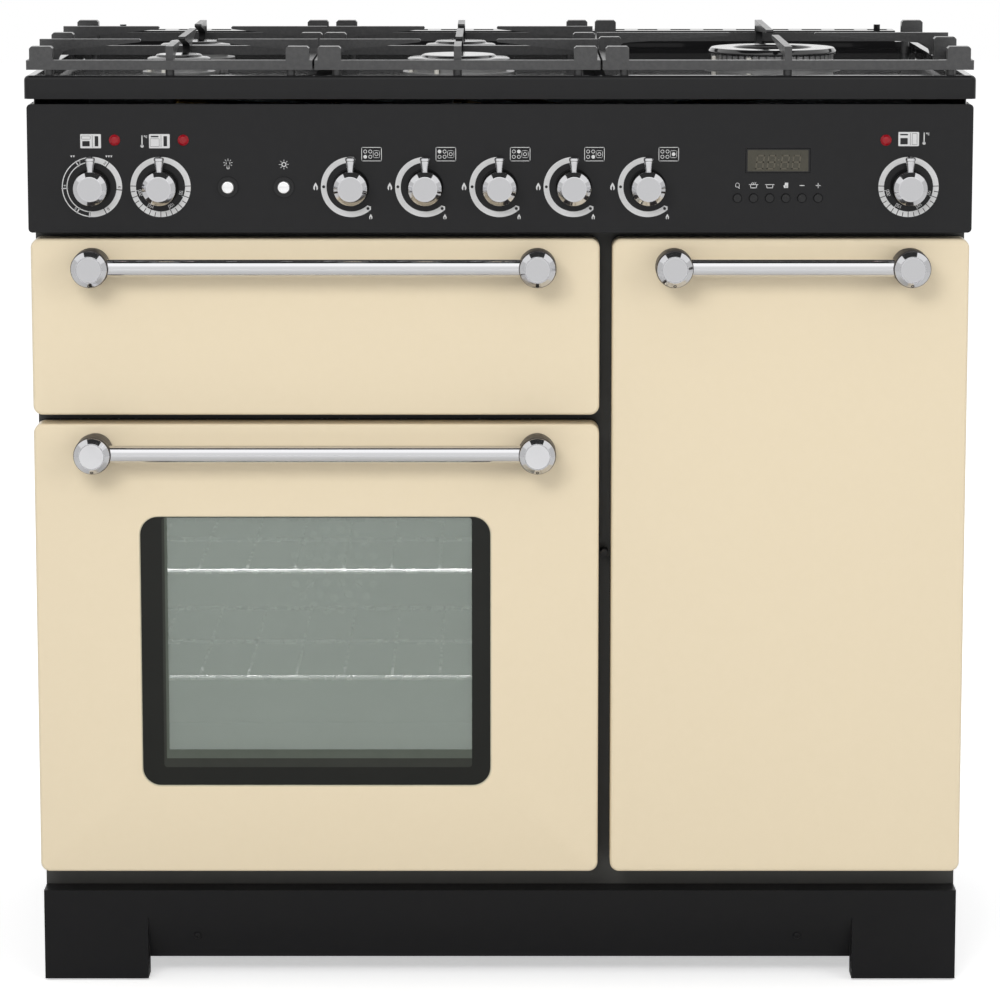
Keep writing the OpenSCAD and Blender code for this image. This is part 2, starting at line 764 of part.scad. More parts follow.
// Caps: a stepped disc on each crown, and a ring with a dark, open middle on the ring burner
module burner_caps() {
    color("#d8d8d8") for (b = BURNERS) translate([b[0], b[1], 0]) {
        r = b[2];
        if (r == ring_cap_r) {
            rotate_extrude() polygon([
                [r * 0.59, cap_z], [r, cap_z], [r, cap_z + 2.5], [r - 2.5, cap_top],
                [r * 0.59 + 2, cap_top], [r * 0.59, cap_top - 2]
            ]);
        } else {
            rotate_extrude() polygon([
                [0, cap_z], [r, cap_z], [r, cap_z + 2], [r - 3, cap_z + 3.4],
                [r * 0.74, cap_z + 3.8], [r * 0.72, cap_top - 0.8], [r * 0.68, cap_top],
                [0, cap_top]
            ]);
        }
    }
}

module spark_electrodes() {
    color("white") for (b = BURNERS, a = [200, 245])
        translate([b[0], b[1], 0]) rotate([0, 0, a]) translate([b[2] - 1, 0, 0]) {
            bar_z(0, 0, well_z + 3, cap_z - 1.5, 2.4);
        }
}

// Control panel and what is behind it

KNOBS_X = [grill_knob_x, left_knob_x, gas_knob_x(1), gas_knob_x(2), gas_knob_x(3),
    gas_knob_x(4), gas_knob_x(5), right_knob_x];
LAMPS_X = [grill_knob_x + lamp_shift, left_knob_x + lamp_shift, right_knob_x - lamp_shift];
lamp_z = spindle_z + lamp_rise;
lamp_stem_r = 3.5;
display_z = spindle_z + display_rise - display_h / 2;
timer_z = spindle_z - timer_drop;
switch_nose_r = 8;
spindle_bore_l = 21;
spindle_in = 18;
control_l = 22;
control_r = 18;

module control_panel() {
    color("#303030") difference() {
        plate(-panel_w / 2, panel_y, panel_z0, panel_w, frame_y - panel_y, panel_h,
            panel_corner_r);
        block([-panel_w / 2 + sheet, panel_back_y, panel_z0 + sheet],
            [panel_w / 2 - sheet, frame_y + over, panel_z1 - sheet]);
        block([-panel_w / 2 + sheet, panel_y + 14, panel_z0 + sheet],
            [panel_w / 2 - sheet, frame_y + over, panel_z1 + over]);
        for (x = KNOBS_X) bar_y(x, panel_y - over, panel_back_y + over, spindle_z, spindle_hole_r);
        for (x = [light_button_x, ignition_button_x])
            bar_y(x, panel_y - over, panel_back_y + over, spindle_z, switch_nose_r + air);
        for (i = [1:6])
            bar_y(timer_button_x(i), panel_y - over, panel_back_y + over, timer_z,
                timer_button_r + air);
        for (x = LAMPS_X) bar_y(x, panel_y - over, panel_back_y + over, lamp_z, lamp_stem_r + air);
        block([display_x - display_w / 2 - air, panel_y - over, display_z - air],
            [display_x + display_w / 2 + air, panel_back_y + over, display_z + display_h + air]);
    }
}

// The timer: its lens fills the panel's cutout, its housing carries the six button stems
timer_gap = 6;
timer_housing_l = 16;
stem_small_r = 1.5;

module timer_unit() {
    half = 3 * timer_pitch + 4;
    low = timer_z - 8;
    high = display_z + display_h + 4;
    color("#1a1f1a") difference() {
        union() {
            block([display_x - display_w / 2, panel_y + 0.4, display_z],
                [display_x + display_w / 2, panel_back_y + timer_gap, display_z + display_h]);
            block([display_x - half, panel_back_y + timer_gap, low],
                [display_x + half, panel_back_y + timer_gap + timer_housing_l, high]);
            for (x = [display_x - half, display_x + half - 4])
                block([x, panel_back_y, timer_z + 8], [x + 4, panel_back_y + timer_gap, high]);
        }
        for (i = [1:6])
            bar_y(timer_button_x(i), panel_back_y + timer_gap - over,
                panel_back_y + timer_gap + 14, timer_z, stem_small_r + run_clear);
    }
}

module timer_button(i) {
    x = timer_button_x(i);
    color("black") {
        bar_y(x, panel_y - timer_travel - 0.8, panel_back_y + air, timer_z, timer_button_r);
        bar_y(x, panel_back_y + air, panel_back_y + air + 1.5, timer_z, timer_button_r + 1);
        bar_y(x, panel_back_y + air, panel_back_y + timer_gap + 8, timer_z, stem_small_r);
    }
}

module lamp_lenses() {
    color("red") for (x = LAMPS_X) {
        bar_y(x, panel_y - 2, panel_y, lamp_z, lamp_r);
        bar_y(x, panel_y, panel_back_y + 10, lamp_z, lamp_stem_r);
    }
}

// The gas rail with its valves and the pipes to the burners
rail_y = frame_y - 14;
valve_r = 9;
thin_pipe_r = 4;

module thin_pipe(a, b) {
    d = b - a;
    length = norm(d);
    translate(a) rotate([0, acos(d[2] / length), atan2(d[1], d[0])])
        cylinder(r = thin_pipe_r, h = length);
    translate(b) sphere(r = thin_pipe_r + 1.2);
}

module gas_rail() {
    riser_y = rail_y - pipe_r - 6;
    color("goldenrod") difference() {
        union() {
            bar_x(gas_knob_x(1) - 20, inlet_x, rail_y, spindle_z, pipe_r);
            translate([inlet_x, rail_y, spindle_z]) sphere(r = pipe_r + 2);
            bar_y(inlet_x, rail_y, back_y + 4, spindle_z, pipe_r);
            bar_y(inlet_x, back_y + air, back_y + inlet_l, spindle_z, inlet_r);
            for (i = [1:5]) {
                bar_y(gas_knob_x(i), panel_back_y, rail_y, spindle_z, valve_r);
                block([gas_knob_x(i) - 12, rail_y, spindle_z - 5],
                    [gas_knob_x(i) + 12, frame_y, spindle_z + 5]);
            }
            for (i = [0:4]) {
                b = BURNERS[i];
                x = gas_knob_x(i + 1);
                thin_pipe([x, riser_y, spindle_z], [x, riser_y, pipe_z]);
                thin_pipe([x, riser_y, pipe_z], [b[0], b[1], pipe_z]);
                bar_z(b[0], b[1], pipe_z, bowl_z, thin_pipe_r);
            }
        }
        for (i = [1:5])
            bar_y(gas_knob_x(i), panel_back_y - over, panel_back_y + spindle_bore_l,
                spindle_z, spindle_r + run_clear);
        bar_y(inlet_x, back_y - 20, back_y + inlet_l + over, spindle_z, 6);
    }
}

// Thermostats of the grill and the two ovens, and the switches of the two push buttons
module oven_control(x) {
    difference() {
        block([x - control_r, panel_back_y, spindle_z - control_r],
            [x + control_r, panel_back_y + control_l, spindle_z + control_r]);
        bar_y(x, panel_back_y - over, panel_back_y + spindle_bore_l, spindle_z,
            spindle_r + run_clear);
    }
}

button_hollow = 10;
button_stem_r = 2;
button_stem_l = 17;
bezel_w = 1.5;
bezel_out = 2.5;
switch_w = 3;
switch_l = 24;

module button_switch(x) {
    difference() {
        union() {
            bar_y(x, panel_y - bezel_out, panel_y, spindle_z, switch_nose_r + bezel_w);
            bar_y(x, panel_y, panel_back_y, spindle_z, switch_nose_r);
            bar_y(x, panel_back_y, panel_back_y + switch_l, spindle_z, switch_nose_r + switch_w);
        }
        bar_y(x, panel_y - bezel_out - over, panel_back_y + button_hollow, spindle_z,
            button_r + air);
        bar_y(x, panel_back_y, panel_back_y + switch_l - switch_w, spindle_z,
            button_stem_r + run_clear);
    }
}

module control_units() {
    color("#262626") {
        for (x = [grill_knob_x, left_knob_x, right_knob_x]) oven_control(x);
        for (x = [light_button_x, ignition_button_x]) button_switch(x);
    }
}

module push_button(x) {
    color("white") {
        translate([x, panel_back_y + button_hollow - button_travel - 1, spindle_z])
            rotate([90, 0, 0]) rotate_extrude() {
                top = button_out + sheet + button_hollow - button_travel - 1;
                square([button_r, top - 2]);
                translate([0, top - 2]) intersection() {
                    scale([1, 2 / button_r]) circle(r = button_r);
                    square(button_r);
                }
            }
        bar_y(x, panel_back_y, panel_back_y + button_stem_l, spindle_z, button_stem_r);
    }
}

module light_button() push_button(light_button_x);
module ignition_button() push_button(ignition_button_x);

// A knob: a black skirt, a chrome drum with a bevelled face, a pointer peg and its spindle
module knob(x) {
    drum = knob_h - knob_gap;
    peg_y = panel_y - knob_h * 0.62;
    peg_root = knob_r - 7;
    color("silver") {
        translate([x, panel_y - knob_gap, spindle_z]) rotate([90, 0, 0]) rotate_extrude()
            polygon([
                [0, 0], [skirt_r, 0], [skirt_r, skirt_h - 2], [skirt_r - 1, skirt_h],
                [knob_r, skirt_h], [knob_r, drum - knob_r + knob_face_r],
                [knob_face_r, drum], [0, drum]
            ]);
        translate([x, peg_y, spindle_z]) rotate_extrude() polygon([
            [0, peg_root], [pointer_r * 0.62, peg_root], [pointer_r * 0.62, knob_r + 1.5],
            [pointer_r * 0.7, knob_r + 4], [pointer_r, pointer_reach - 2],
            [pointer_r - 1.2, pointer_reach], [0, pointer_reach]
        ]);
        bar_y(x, panel_y - knob_gap - over, panel_back_y + spindle_in, spindle_z, spindle_r);
    }
}

module gas_knob_1() knob(gas_knob_x(1));
module gas_knob_2() knob(gas_knob_x(2));
module gas_knob_3() knob(gas_knob_x(3));
module gas_knob_4() knob(gas_knob_x(4));
module gas_knob_5() knob(gas_knob_x(5));
module grill_knob() knob(grill_knob_x);
module left_oven_knob() knob(left_knob_x);
module right_oven_knob() knob(right_knob_x);

// Ovens and grill

ledge_out = 7;
ledge_h = 3;
ledge_end = 6;
rack_end = 14;
rack_side = 2;
thin_wire_r = 1.5;
hub_r = 8;
shaft_r = 3;
shaft_play = 2;
motor_gap = 4;
LEFT_RACKS = [left_rack_z, left_rack_z + 2 * shelf_pitch];
RIGHT_RACKS = [for (i = [-1, 2, 5]) left_rack_z + i * shelf_pitch];

// A pair of ledges that a shelf or a pan rests on, each a strip against its wall
module ledges(x, w, z, y1) {
    for (side = [x + air, x + w - ledge_out])
        block([side, frame_y + ledge_end, z - ledge_h], [side + ledge_out - air, y1, z]);
}

module oven_liner(x, w, h, fan_x, fan_z) {
    color("#4a4a4a") difference() {
        liner(x, cavity_z, w, h, liner_t);
        bar_y(fan_x, cavity_back_y - over, cavity_back_y + liner_t + over, fan_z,
            shaft_r + shaft_play);
    }
}

module left_oven_liner() {
    oven_liner(left_cav_x, left_cavity_w, left_cavity_h, left_fan_x, left_fan_z);
}

module right_oven_liner() {
    oven_liner(right_cav_x, right_cavity_w, right_cavity_h, right_fan_x, right_fan_z);
}

grill_pan_up = 38;
grill_pan_z = grill_z0 + grill_pan_up;
grill_pan_h = 30;
pan_x0 = left_cav_x + ledge_out + 3;
pan_x1 = left_cav_x + left_cavity_w - ledge_out - 3;
pan_y0 = frame_y + 24;
pan_y1 = cavity_back_y - 48;
grid_drop = 6;
grid_pitch = 20;
grid_in = 40;

module grill_chamber() {
    color("#4a4a4a") {
        liner(left_cav_x, grill_z0, left_cavity_w, grill_h, liner_t);
        ledges(left_cav_x, left_cavity_w, grill_pan_z, cavity_back_y - 40);
    }
}

// The grill pan hangs by its rim on the ledges
module grill_pan() {
    rim_x0 = left_cav_x + rack_side;
    rim_x1 = left_cav_x + left_cavity_w - rack_side;
    color("#5a5a5a") difference() {
        union() {
            block([rim_x0, pan_y0, grill_pan_z], [rim_x1, pan_y1, grill_pan_z + sheet]);
            block([pan_x0, pan_y0, grill_pan_z - grill_pan_h],
                [pan_x1, pan_y1, grill_pan_z + sheet]);
        }
        block([pan_x0 + sheet, pan_y0 + sheet, grill_pan_z - grill_pan_h + sheet],
            [pan_x1 - sheet, pan_y1 - sheet, grill_pan_z + sheet + over]);
    }
}

// The wire grid that fits in the grill pan, between its side walls
module grill_grid() {
    grid_z = grill_pan_z - grid_drop;
    play = sheet + air;
    wires = floor((pan_x1 - pan_x0) / grid_pitch) - 1;
    color("silver") {
        for (y = [pan_y0 + grid_in, (pan_y0 + pan_y1) / 2, pan_y1 - grid_in])
            bar_x(pan_x0 + play, pan_x1 - play, y, grid_z, wire_r, $fn = 8);
        for (i = [1:wires])
            bar_y(pan_x0 + i * (pan_x1 - pan_x0) / (wires + 1), pan_y0 + 8, pan_y1 - 8,
                grid_z + wire_r, thin_wire_r, $fn = 8);
    }
}

element_r = 3.2;

module ring_element(x, z) {
    y = cavity_back_y - 16;
    translate([x, y, z]) rotate([90, 0, 0]) rotate_extrude()
        translate([ring_element_r, 0]) circle(r = element_r, $fn = 24);
    for (dx = [-12, 12]) bar_y(x + dx, y, cavity_back_y, z + sqrt(ring_element_r ^ 2 - 144),
        element_r - 0.8);
}

// The grill element: a level tube that runs to and fro under the chamber's roof
module grill_element() {
    runs = 6;
    z = grill_z1 - 14;
    pitch = left_cavity_w / (runs + 1);
    y0 = frame_y + 60;
    y1 = cavity_back_y - 60;
    first = left_cav_x + pitch;
    for (i = [0:runs - 1]) {
        end = i == 0 || i == runs - 1 ? cavity_back_y : y1;
        bar_y(first + i * pitch, y0, end, z, element_r, $fn = 8);
    }
    for (i = [0:runs - 2])
        bar_x(first + i * pitch - element_r, first + (i + 1) * pitch + element_r,
            i % 2 == 0 ? y0 : y1, z, element_r, $fn = 8);
    for (x = [first + 0.5 * pitch, first + (runs - 1.5) * pitch])
        bar_z(x, y0, z, grill_z1, 2, $fn = 8);
}

module heating_elements() {
    color("#6b6b6b") {
        ring_element(left_fan_x, left_fan_z);
        ring_element(right_fan_x, right_fan_z);
        grill_element();
    }
}

// A wire shelf, and the pair of ledges just under it
module oven_shelf(x, w, z) {
    x0 = x + rack_side + wire_r;
    x1 = x + w - rack_side - wire_r;
    y0 = frame_y + rack_end;
    y1 = cover_y - 6;
    wires = floor((x1 - x0) / rack_pitch);
    for (y = [y0, (y0 + y1) / 2, y1])
        bar_x(x0 - wire_r, x1 + wire_r, y, z, wire_r, $fn = 8);
    for (px = [x0, x1]) bar_y(px, y0, y1, z, wire_r - 0.3, $fn = 8);
    for (i = [0:wires]) bar_y((x0 + x1) / 2 + (i - wires / 2) * rack_pitch, y0, y1, z + wire_r,
        thin_wire_r, $fn = 8);
    ledges(x, w, z - wire_r - air, cover_y - over);
}

module oven_shelves() {
    color("silver") {
        for (z = LEFT_RACKS) oven_shelf(left_cav_x, left_cavity_w, z);
        for (z = RIGHT_RACKS) oven_shelf(right_cav_x, right_cavity_w, z);
    }
}

wide_cover_w = left_cavity_w - 160;
slim_cover_w = right_cavity_w - 40;
cover_h = 260;
cover_hole_r = 4.5;
cover_slot_pitch = 36;
cover_slot_h = 24;
cover_slot_w = 14;

// Covers before the fans, with a ring of holes in front and open slots at the sides
module fan_cover(x, z, w, h) {
    difference() {
        block([x - w / 2, cover_y, z - h / 2], [x + w / 2, cavity_back_y, z + h / 2]);
        block([x - w / 2 + sheet, cover_y + sheet, z - h / 2 + sheet],
            [x + w / 2 - sheet, cavity_back_y + over, z + h / 2 - sheet]);
        for (ring = [[6, 16], [12, 30], [18, 44]], i = [0:ring[0] - 1])
            bar_y(x + ring[1] * cos(360 * i / ring[0]), cover_y - over, cover_y + sheet + over,
                z + ring[1] * sin(360 * i / ring[0]), cover_hole_r);
        for (i = [-2:2]) {
            slot_z = z + i * cover_slot_pitch - cover_slot_h / 2;
            block([x - w / 2 - over, cover_y + 10, slot_z],
                [x + w / 2 + over, cover_y + 10 + cover_slot_w, slot_z + cover_slot_h]);
        }
    }
}

module fan_covers() {
    color("#4a4a4a") {
        fan_cover(left_fan_x, left_fan_z, wide_cover_w, cover_h);
        fan_cover(right_fan_x, right_fan_z, slim_cover_w, cover_h);
    }
}

motor_r = 34;
motor_l = 58;
motor_bore_l = 30;
motor_leg_away = 27;
motor_leg_r = 4;
fan_front = 24;
fan_plate_t = 1.5;
hub_front = 12;
hub_back = 8;
blade_d = 11;
blade_t = 1.6;

module fan_motors() {
    y0 = cavity_back_y + liner_t;
    color("#8a8a8a") for (f = [[left_fan_x, left_fan_z], [right_fan_x, right_fan_z]])
        difference() {
            union() {
                bar_y(f[0], y0 + motor_gap, y0 + motor_gap + motor_l, f[1], motor_r);
                for (a = [45:90:315])
                    bar_y(f[0] + motor_leg_away * cos(a), y0, y0 + motor_gap + over,
                        f[1] + motor_leg_away * sin(a), motor_leg_r);
            }
            bar_y(f[0], y0, y0 + motor_gap + motor_bore_l, f[1], shaft_r + run_clear);
        }
}

module fan(x, z) {
    y = cavity_back_y - fan_front;
    blades = 10;
    color("silver") {
        bar_y(x, y - hub_front, y + hub_back, z, hub_r);
        bar_y(x, y, y + fan_plate_t, z, fan_r);
        for (i = [0:blades - 1]) translate([x, y, z]) rotate([0, 360 * i / blades, 0])
            block([hub_r - 2, -blade_d, -blade_t / 2], [fan_r - 4, fan_plate_t / 3, blade_t / 2]);
        bar_y(x, y, cavity_back_y + liner_t + motor_gap + motor_bore_l - 2, z, shaft_r);
    }
}

module left_fan() fan(left_fan_x, left_fan_z);
module right_fan() fan(right_fan_x, right_fan_z);

// Doors

lug_h = 5;
pocket_r = knuckle_r + 3.5;
pocket_h = knuckle_h + 2 * lug_h + 4 * air;
seal_w = 8;
seal_away = 4;
handle_z = door_top - handle_drop;
oven_handle_z = oven_top - handle_drop;
window_shift = -1.8;
window_x = doors_x0 + (left_door_w - window_w) / 2 + window_shift;
window_z = oven_top - window_drop - window_h;
pivot_y = door_y + grill_pivot_in;
pivot_z = grill_door_z + grill_pivot_up;
eye_r = 3.5;
catch_up = 310;
GRILL_ARMS = [doors_x0 + grill_hinge_in, left_x1 - grill_hinge_in];
LEFT_HINGES = [oven_door_z + hinge_low, oven_top - hinge_high];
RIGHT_HINGES = [oven_door_z + hinge_low, door_top - hinge_high];

// A door's enamelled skin: a face with rounded edges and its folded sides
module door_skin(x, z, w, h) {
    difference() {
        union() {
            hull() for (a = [0, 30, 60, 90]) {
                in = door_edge * (1 - sin(a));
                plate(x + in, door_y + door_edge * (1 - cos(a)), z + in, w - 2 * in, 0.01,
                    h - 2 * in, door_corner_r - in, $fn = 32);
            }
            plate(x, door_y + door_edge, z, w, pan_y - door_y - door_edge, h, door_corner_r);
        }
        plate(x + skin, door_y + skin, z + skin, w - 2 * skin, pan_y - door_y, h - 2 * skin,
            door_corner_r - skin);
    }
}

// A door's back pan, an open tray that meets the skin rim to rim
module door_pan(x, z, w, h) {
    difference() {
        plate(x, pan_y, z, w, back_pan, h, door_corner_r);
        plate(x + skin, pan_y - over, z + skin, w - 2 * skin, back_pan - skin + over,
            h - 2 * skin, door_corner_r - skin);
    }
}

// The back pan of a side hung door, with a knuckle in a pocket at each hinge; side is -1 for
// hinges on the left and 1 for hinges on the right
module hung_pan(x, z, w, h, side, hinges) {
    hx = side * hinge_x;
    edge = side < 0 ? x : x + w;
    difference() {
        union() {
            difference() {
                union() {
                    door_pan(x, z, w, h);
                    for (hz = hinges) {
                        far = hx - side * (pocket_r + 3);
                        block([min(edge, far), pan_y, hz - pocket_h / 2 - 3],
                            [max(edge, far), door_back_y, hz + pocket_h / 2 + 3]);
                    }
                }
                for (hz = hinges)
                    bar_z(hx, door_back_y, hz - pocket_h / 2, hz + pocket_h / 2, pocket_r);
            }
            for (hz = hinges) {
                bar_z(hx, door_back_y, hz - knuckle_h / 2, hz + knuckle_h / 2, knuckle_r);
                far = hx - side * (pocket_r + 1);
                block([min(hx, far), door_back_y - knuckle_r, hz - knuckle_h / 2],
                    [max(hx, far), door_back_y, hz + knuckle_h / 2]);
            }
        }
        for (hz = hinges)
            bar_z(hx, door_back_y, hz - knuckle_h, hz + knuckle_h, pin_r + run_clear);
    }
}

module arm_slot(x) {
    block([x - arm_w / 2 - air, pivot_y - eye_r - 0.7, grill_door_z - over],
        [x + arm_w / 2 + air, door_back_y + over, pivot_z + eye_r + 0.7]);
}

module grill_door() {
    color("#e7dcba") difference() {
        door_skin(doors_x0, grill_door_z, left_door_w, grill_door_h);
        for (x = GRILL_ARMS) arm_slot(x);
    }
}

// The grill door's back pan, with two cheeks beside each hinge arm
module grill_door_back() {
    cheek = 8;
    color("#3a3a3a") difference() {
        union() {
            door_pan(doors_x0, grill_door_z, left_door_w, grill_door_h);
            for (x = GRILL_ARMS)
                block([x - arm_w / 2 - air - cheek, door_y + skin, grill_door_z + skin],
                    [x + arm_w / 2 + air + cheek, door_back_y - 1, pivot_z + 9]);
        }
        for (x = GRILL_ARMS) {
            arm_slot(x);
            bar_x(x - arm_w / 2 - cheek - over, x + arm_w / 2 + cheek + over, pivot_y, pivot_z,
                pin_r + run_clear);
        }
    }
}

module left_door() {
    color("#e7dcba") difference() {
        door_skin(doors_x0, oven_door_z, left_door_w, oven_door_h);
        plate(window_x, door_y - over, window_z, window_w, skin + 2 * over, window_h,
            window_corner_r);
    }
}

module left_door_back() {
    in = inner_window_in;
    color("#3a3a3a") difference() {
        hung_pan(doors_x0, oven_door_z, left_door_w, oven_door_h, -1, LEFT_HINGES);
        plate(window_x + in, door_back_y - skin - over, window_z + in, window_w - 2 * in,
            skin + 2 * over, window_h - 2 * in, window_corner_r);
    }
}

module left_door_glass() {
    lap = glass_lap;
    grow = glass_lap - inner_window_in;
    color("#8a938c") {
        plate(window_x - lap, door_y + skin, window_z - lap, window_w + 2 * lap, glass_t,
            window_h + 2 * lap, window_corner_r);
        plate(window_x - grow, door_back_y - skin - glass_t, window_z - grow,
            window_w + 2 * grow, glass_t, window_h + 2 * grow, window_corner_r);
    }
}

module right_door() {
    color("#e7dcba") door_skin(right_x0, oven_door_z, right_door_w, tall_door_h);
}

module right_door_back() {
    color("#3a3a3a") hung_pan(right_x0, oven_door_z, right_door_w, tall_door_h, 1, RIGHT_HINGES);
}

// A handle: two turned posts with bevelled faces, and a round bar between them
module handle(x0, x1, z) {
    r = post_d / 2;
    collar_r = r - 1.8;
    bevel = r - post_face_d / 2;
    color("silver") {
        for (x = [x0, x1]) translate([x, door_y, z]) rotate([90, 0, 0]) rotate_extrude()
            polygon([
                [0, 0], [collar_r, 0], [collar_r, 7], [r - 3, 9], [r - 3, 13], [r, 16],
                [r, handle_reach - bevel], [post_face_d / 2, handle_reach], [0, handle_reach]
            ]);
        bar_x(x0, x1, door_y - bar_out, z, bar_d / 2);
    }
}

module grill_door_handle() handle(doors_x0 + post_inset, left_x1 - post_inset, handle_z);
module left_door_handle() handle(doors_x0 + post_inset, left_x1 - post_inset, oven_handle_z);
module right_door_handle() {
    inset = post_inset - 1.5;
    handle(right_x0 + inset, doors_w / 2 - inset, handle_z);
}

// Lugs and pins of the side hinges, the grill door's arms, and the catch between the doors
module hinge_lugs(side, hz) {
    hx = side * hinge_x;
    for (z = [hz - knuckle_h / 2 - air - lug_h, hz + knuckle_h / 2 + air]) {
        bar_z(hx, door_back_y, z, z + lug_h, knuckle_r);
        block([hx - knuckle_r, door_back_y, z], [hx + knuckle_r, frame_y, z + lug_h]);
    }
    bar_z(hx, door_back_y, hz - knuckle_h / 2 - air - lug_h, hz + knuckle_h / 2 + air + lug_h,
        pin_r);
}

module hinge_fittings() {
    catch_z = oven_door_z + catch_up;
    color("#555555") {
        for (hz = LEFT_HINGES) hinge_lugs(-1, hz);
        for (hz = RIGHT_HINGES) hinge_lugs(1, hz);
        for (x = GRILL_ARMS) {
            block([x - arm_w / 2, pivot_y, pivot_z - eye_r], [x + arm_w / 2, frame_y, pivot_z + eye_r]);
            bar_x(x - arm_w / 2, x + arm_w / 2, pivot_y, pivot_z, eye_r);
            bar_x(x - arm_w / 2 - 7, x + arm_w / 2 + 7, pivot_y, pivot_z, pin_r);
        }
        bar_y((left_x1 + right_x0) / 2, pan_y, frame_y, catch_z, catch_r);
    }
}

module seal(x, z, w, h) {
    deep = frame_gap - air;
    away = liner_t + seal_away;
    difference() {
        plate(x - away - seal_w, frame_y - deep, z - away - seal_w, w + 2 * (away + seal_w), deep,
            h + 2 * (away + seal_w), 16);
        plate(x - away, frame_y - deep - over, z - away, w + 2 * away, deep + 2 * over,
            h + 2 * away, 16 - seal_w);
    }
}

module door_seals() {
    color("#262626") {
        seal(left_cav_x, grill_z0, left_cavity_w, grill_h);
        seal(left_cav_x, cavity_z, left_cavity_w, left_cavity_h);
        seal(right_cav_x, cavity_z, right_cavity_w, right_cavity_h);
    }
}

base_tray();
side_panels();
back_panel();
front_frame();
plinth();
levelling_feet();
roller(-foot_x);  // left_roller
roller(foot_x);  // right_roller
hotplate();
vent_strip();
left_pan_support();
middle_pan_support();
right_pan_support();
burner_heads();
burner_caps();
spark_electrodes();
control_panel();
timer_unit();
lamp_lenses();
gas_rail();
control_units();
gas_knob_1();
gas_knob_2();
gas_knob_3();
gas_knob_4();
gas_knob_5();
grill_knob();
left_oven_knob();
right_oven_knob();
light_button();
ignition_button();
timer_button(1);  // timer_button_1
timer_button(2);  // timer_button_2
timer_button(3);  // timer_button_3
timer_button(4);  // timer_button_4
timer_button(5);  // timer_button_5
timer_button(6);  // timer_button_6
grill_chamber();
grill_pan();
grill_grid();
heating_elements();
left_oven_liner();
right_oven_liner();
oven_shelves();
fan_covers();
fan_motors();
left_fan();
right_fan();
hinge_fittings();
door_seals();
grill_door();
grill_door_back();
grill_door_handle();
left_door();
left_door_back();
left_door_glass();
left_door_handle();
right_door();
right_door_back();
right_door_handle();
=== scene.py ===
"""Looks of the range cooker: the studio, the materials, the printed panel and the finer shapes."""
import json
import math

import bmesh
import bpy
from mathutils import Matrix, Vector


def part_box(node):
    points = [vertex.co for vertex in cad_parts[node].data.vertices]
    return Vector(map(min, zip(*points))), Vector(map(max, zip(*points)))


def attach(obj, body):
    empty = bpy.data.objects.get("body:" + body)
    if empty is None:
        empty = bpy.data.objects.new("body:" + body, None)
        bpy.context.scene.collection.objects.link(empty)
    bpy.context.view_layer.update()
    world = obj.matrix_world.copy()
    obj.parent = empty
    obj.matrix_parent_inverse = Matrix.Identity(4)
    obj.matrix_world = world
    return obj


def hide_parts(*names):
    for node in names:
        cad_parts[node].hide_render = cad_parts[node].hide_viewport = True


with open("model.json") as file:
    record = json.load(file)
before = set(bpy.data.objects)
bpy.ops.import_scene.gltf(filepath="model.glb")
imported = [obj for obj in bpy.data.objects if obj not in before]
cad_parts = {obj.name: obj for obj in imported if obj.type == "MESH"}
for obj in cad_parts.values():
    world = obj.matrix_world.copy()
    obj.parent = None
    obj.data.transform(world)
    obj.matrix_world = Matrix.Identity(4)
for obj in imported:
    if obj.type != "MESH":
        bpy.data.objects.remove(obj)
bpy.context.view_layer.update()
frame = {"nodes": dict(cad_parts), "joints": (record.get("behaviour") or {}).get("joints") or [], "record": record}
nodes = frame["nodes"]
pivots = {j["child"]: Vector(j["pos_m"]) for j in frame["joints"] if "pos_m" in j}
MM = 0.001
# Points closer than this, in metres, are one point
WELD = 0.00001
WHITE = (1.0, 1.0, 1.0, 1.0)


# Camera, lights and stage

def aim(obj, target):
    """Turn a camera or lamp towards a point."""
    obj.rotation_mode = "QUATERNION"
    obj.rotation_quaternion = (Vector(target) - obj.location).to_track_quat("-Z", "Y")


# The photograph's frame and the lens that fits it, in its pixels
FRAME_PX = 1000.0
FOCAL_PX = 4232.0
SENSOR_MM = 36.0
CAMERA_PLACE = (0.0, -4.286, 1.153)
CAMERA_TILT = 8.83
CAMERA_SHIFT = -0.05


def make_camera():
    """The camera at the photograph's angle, a little above the cooker and tilted down."""
    data = bpy.data.cameras.new("camera")
    data.sensor_width = SENSOR_MM
    data.lens = FOCAL_PX * SENSOR_MM / FRAME_PX
    data.shift_y = CAMERA_SHIFT
    data.clip_start, data.clip_end = 0.1, 60.0
    camera = bpy.data.objects.new("camera", data)
    bpy.context.scene.collection.objects.link(camera)
    camera.location = CAMERA_PLACE
    camera.rotation_euler = (math.radians(90.0 - CAMERA_TILT), 0.0, 0.0)
    bpy.context.scene.camera = camera


def softbox(name, place, target, width, height, watts):
    """A rectangular area lamp that faces a point."""
    data = bpy.data.lights.new(name, "AREA")
    data.shape = "RECTANGLE"
    data.size, data.size_y = width, height
    data.energy = watts
    lamp = bpy.data.objects.new(name, data)
    bpy.context.scene.collection.objects.link(lamp)
    lamp.location = place
    aim(lamp, target)
    return lamp


def add_node(tree, kind, operation=None, **sockets):
    """A node in a tree, with values for its inputs; From_Min stands for the input From Min."""
    made = tree.nodes.new(kind)
    if operation:
        made.operation = operation
    for name, value in sockets.items():
        made.inputs[name.replace("_", " ")].default_value = value
    return made


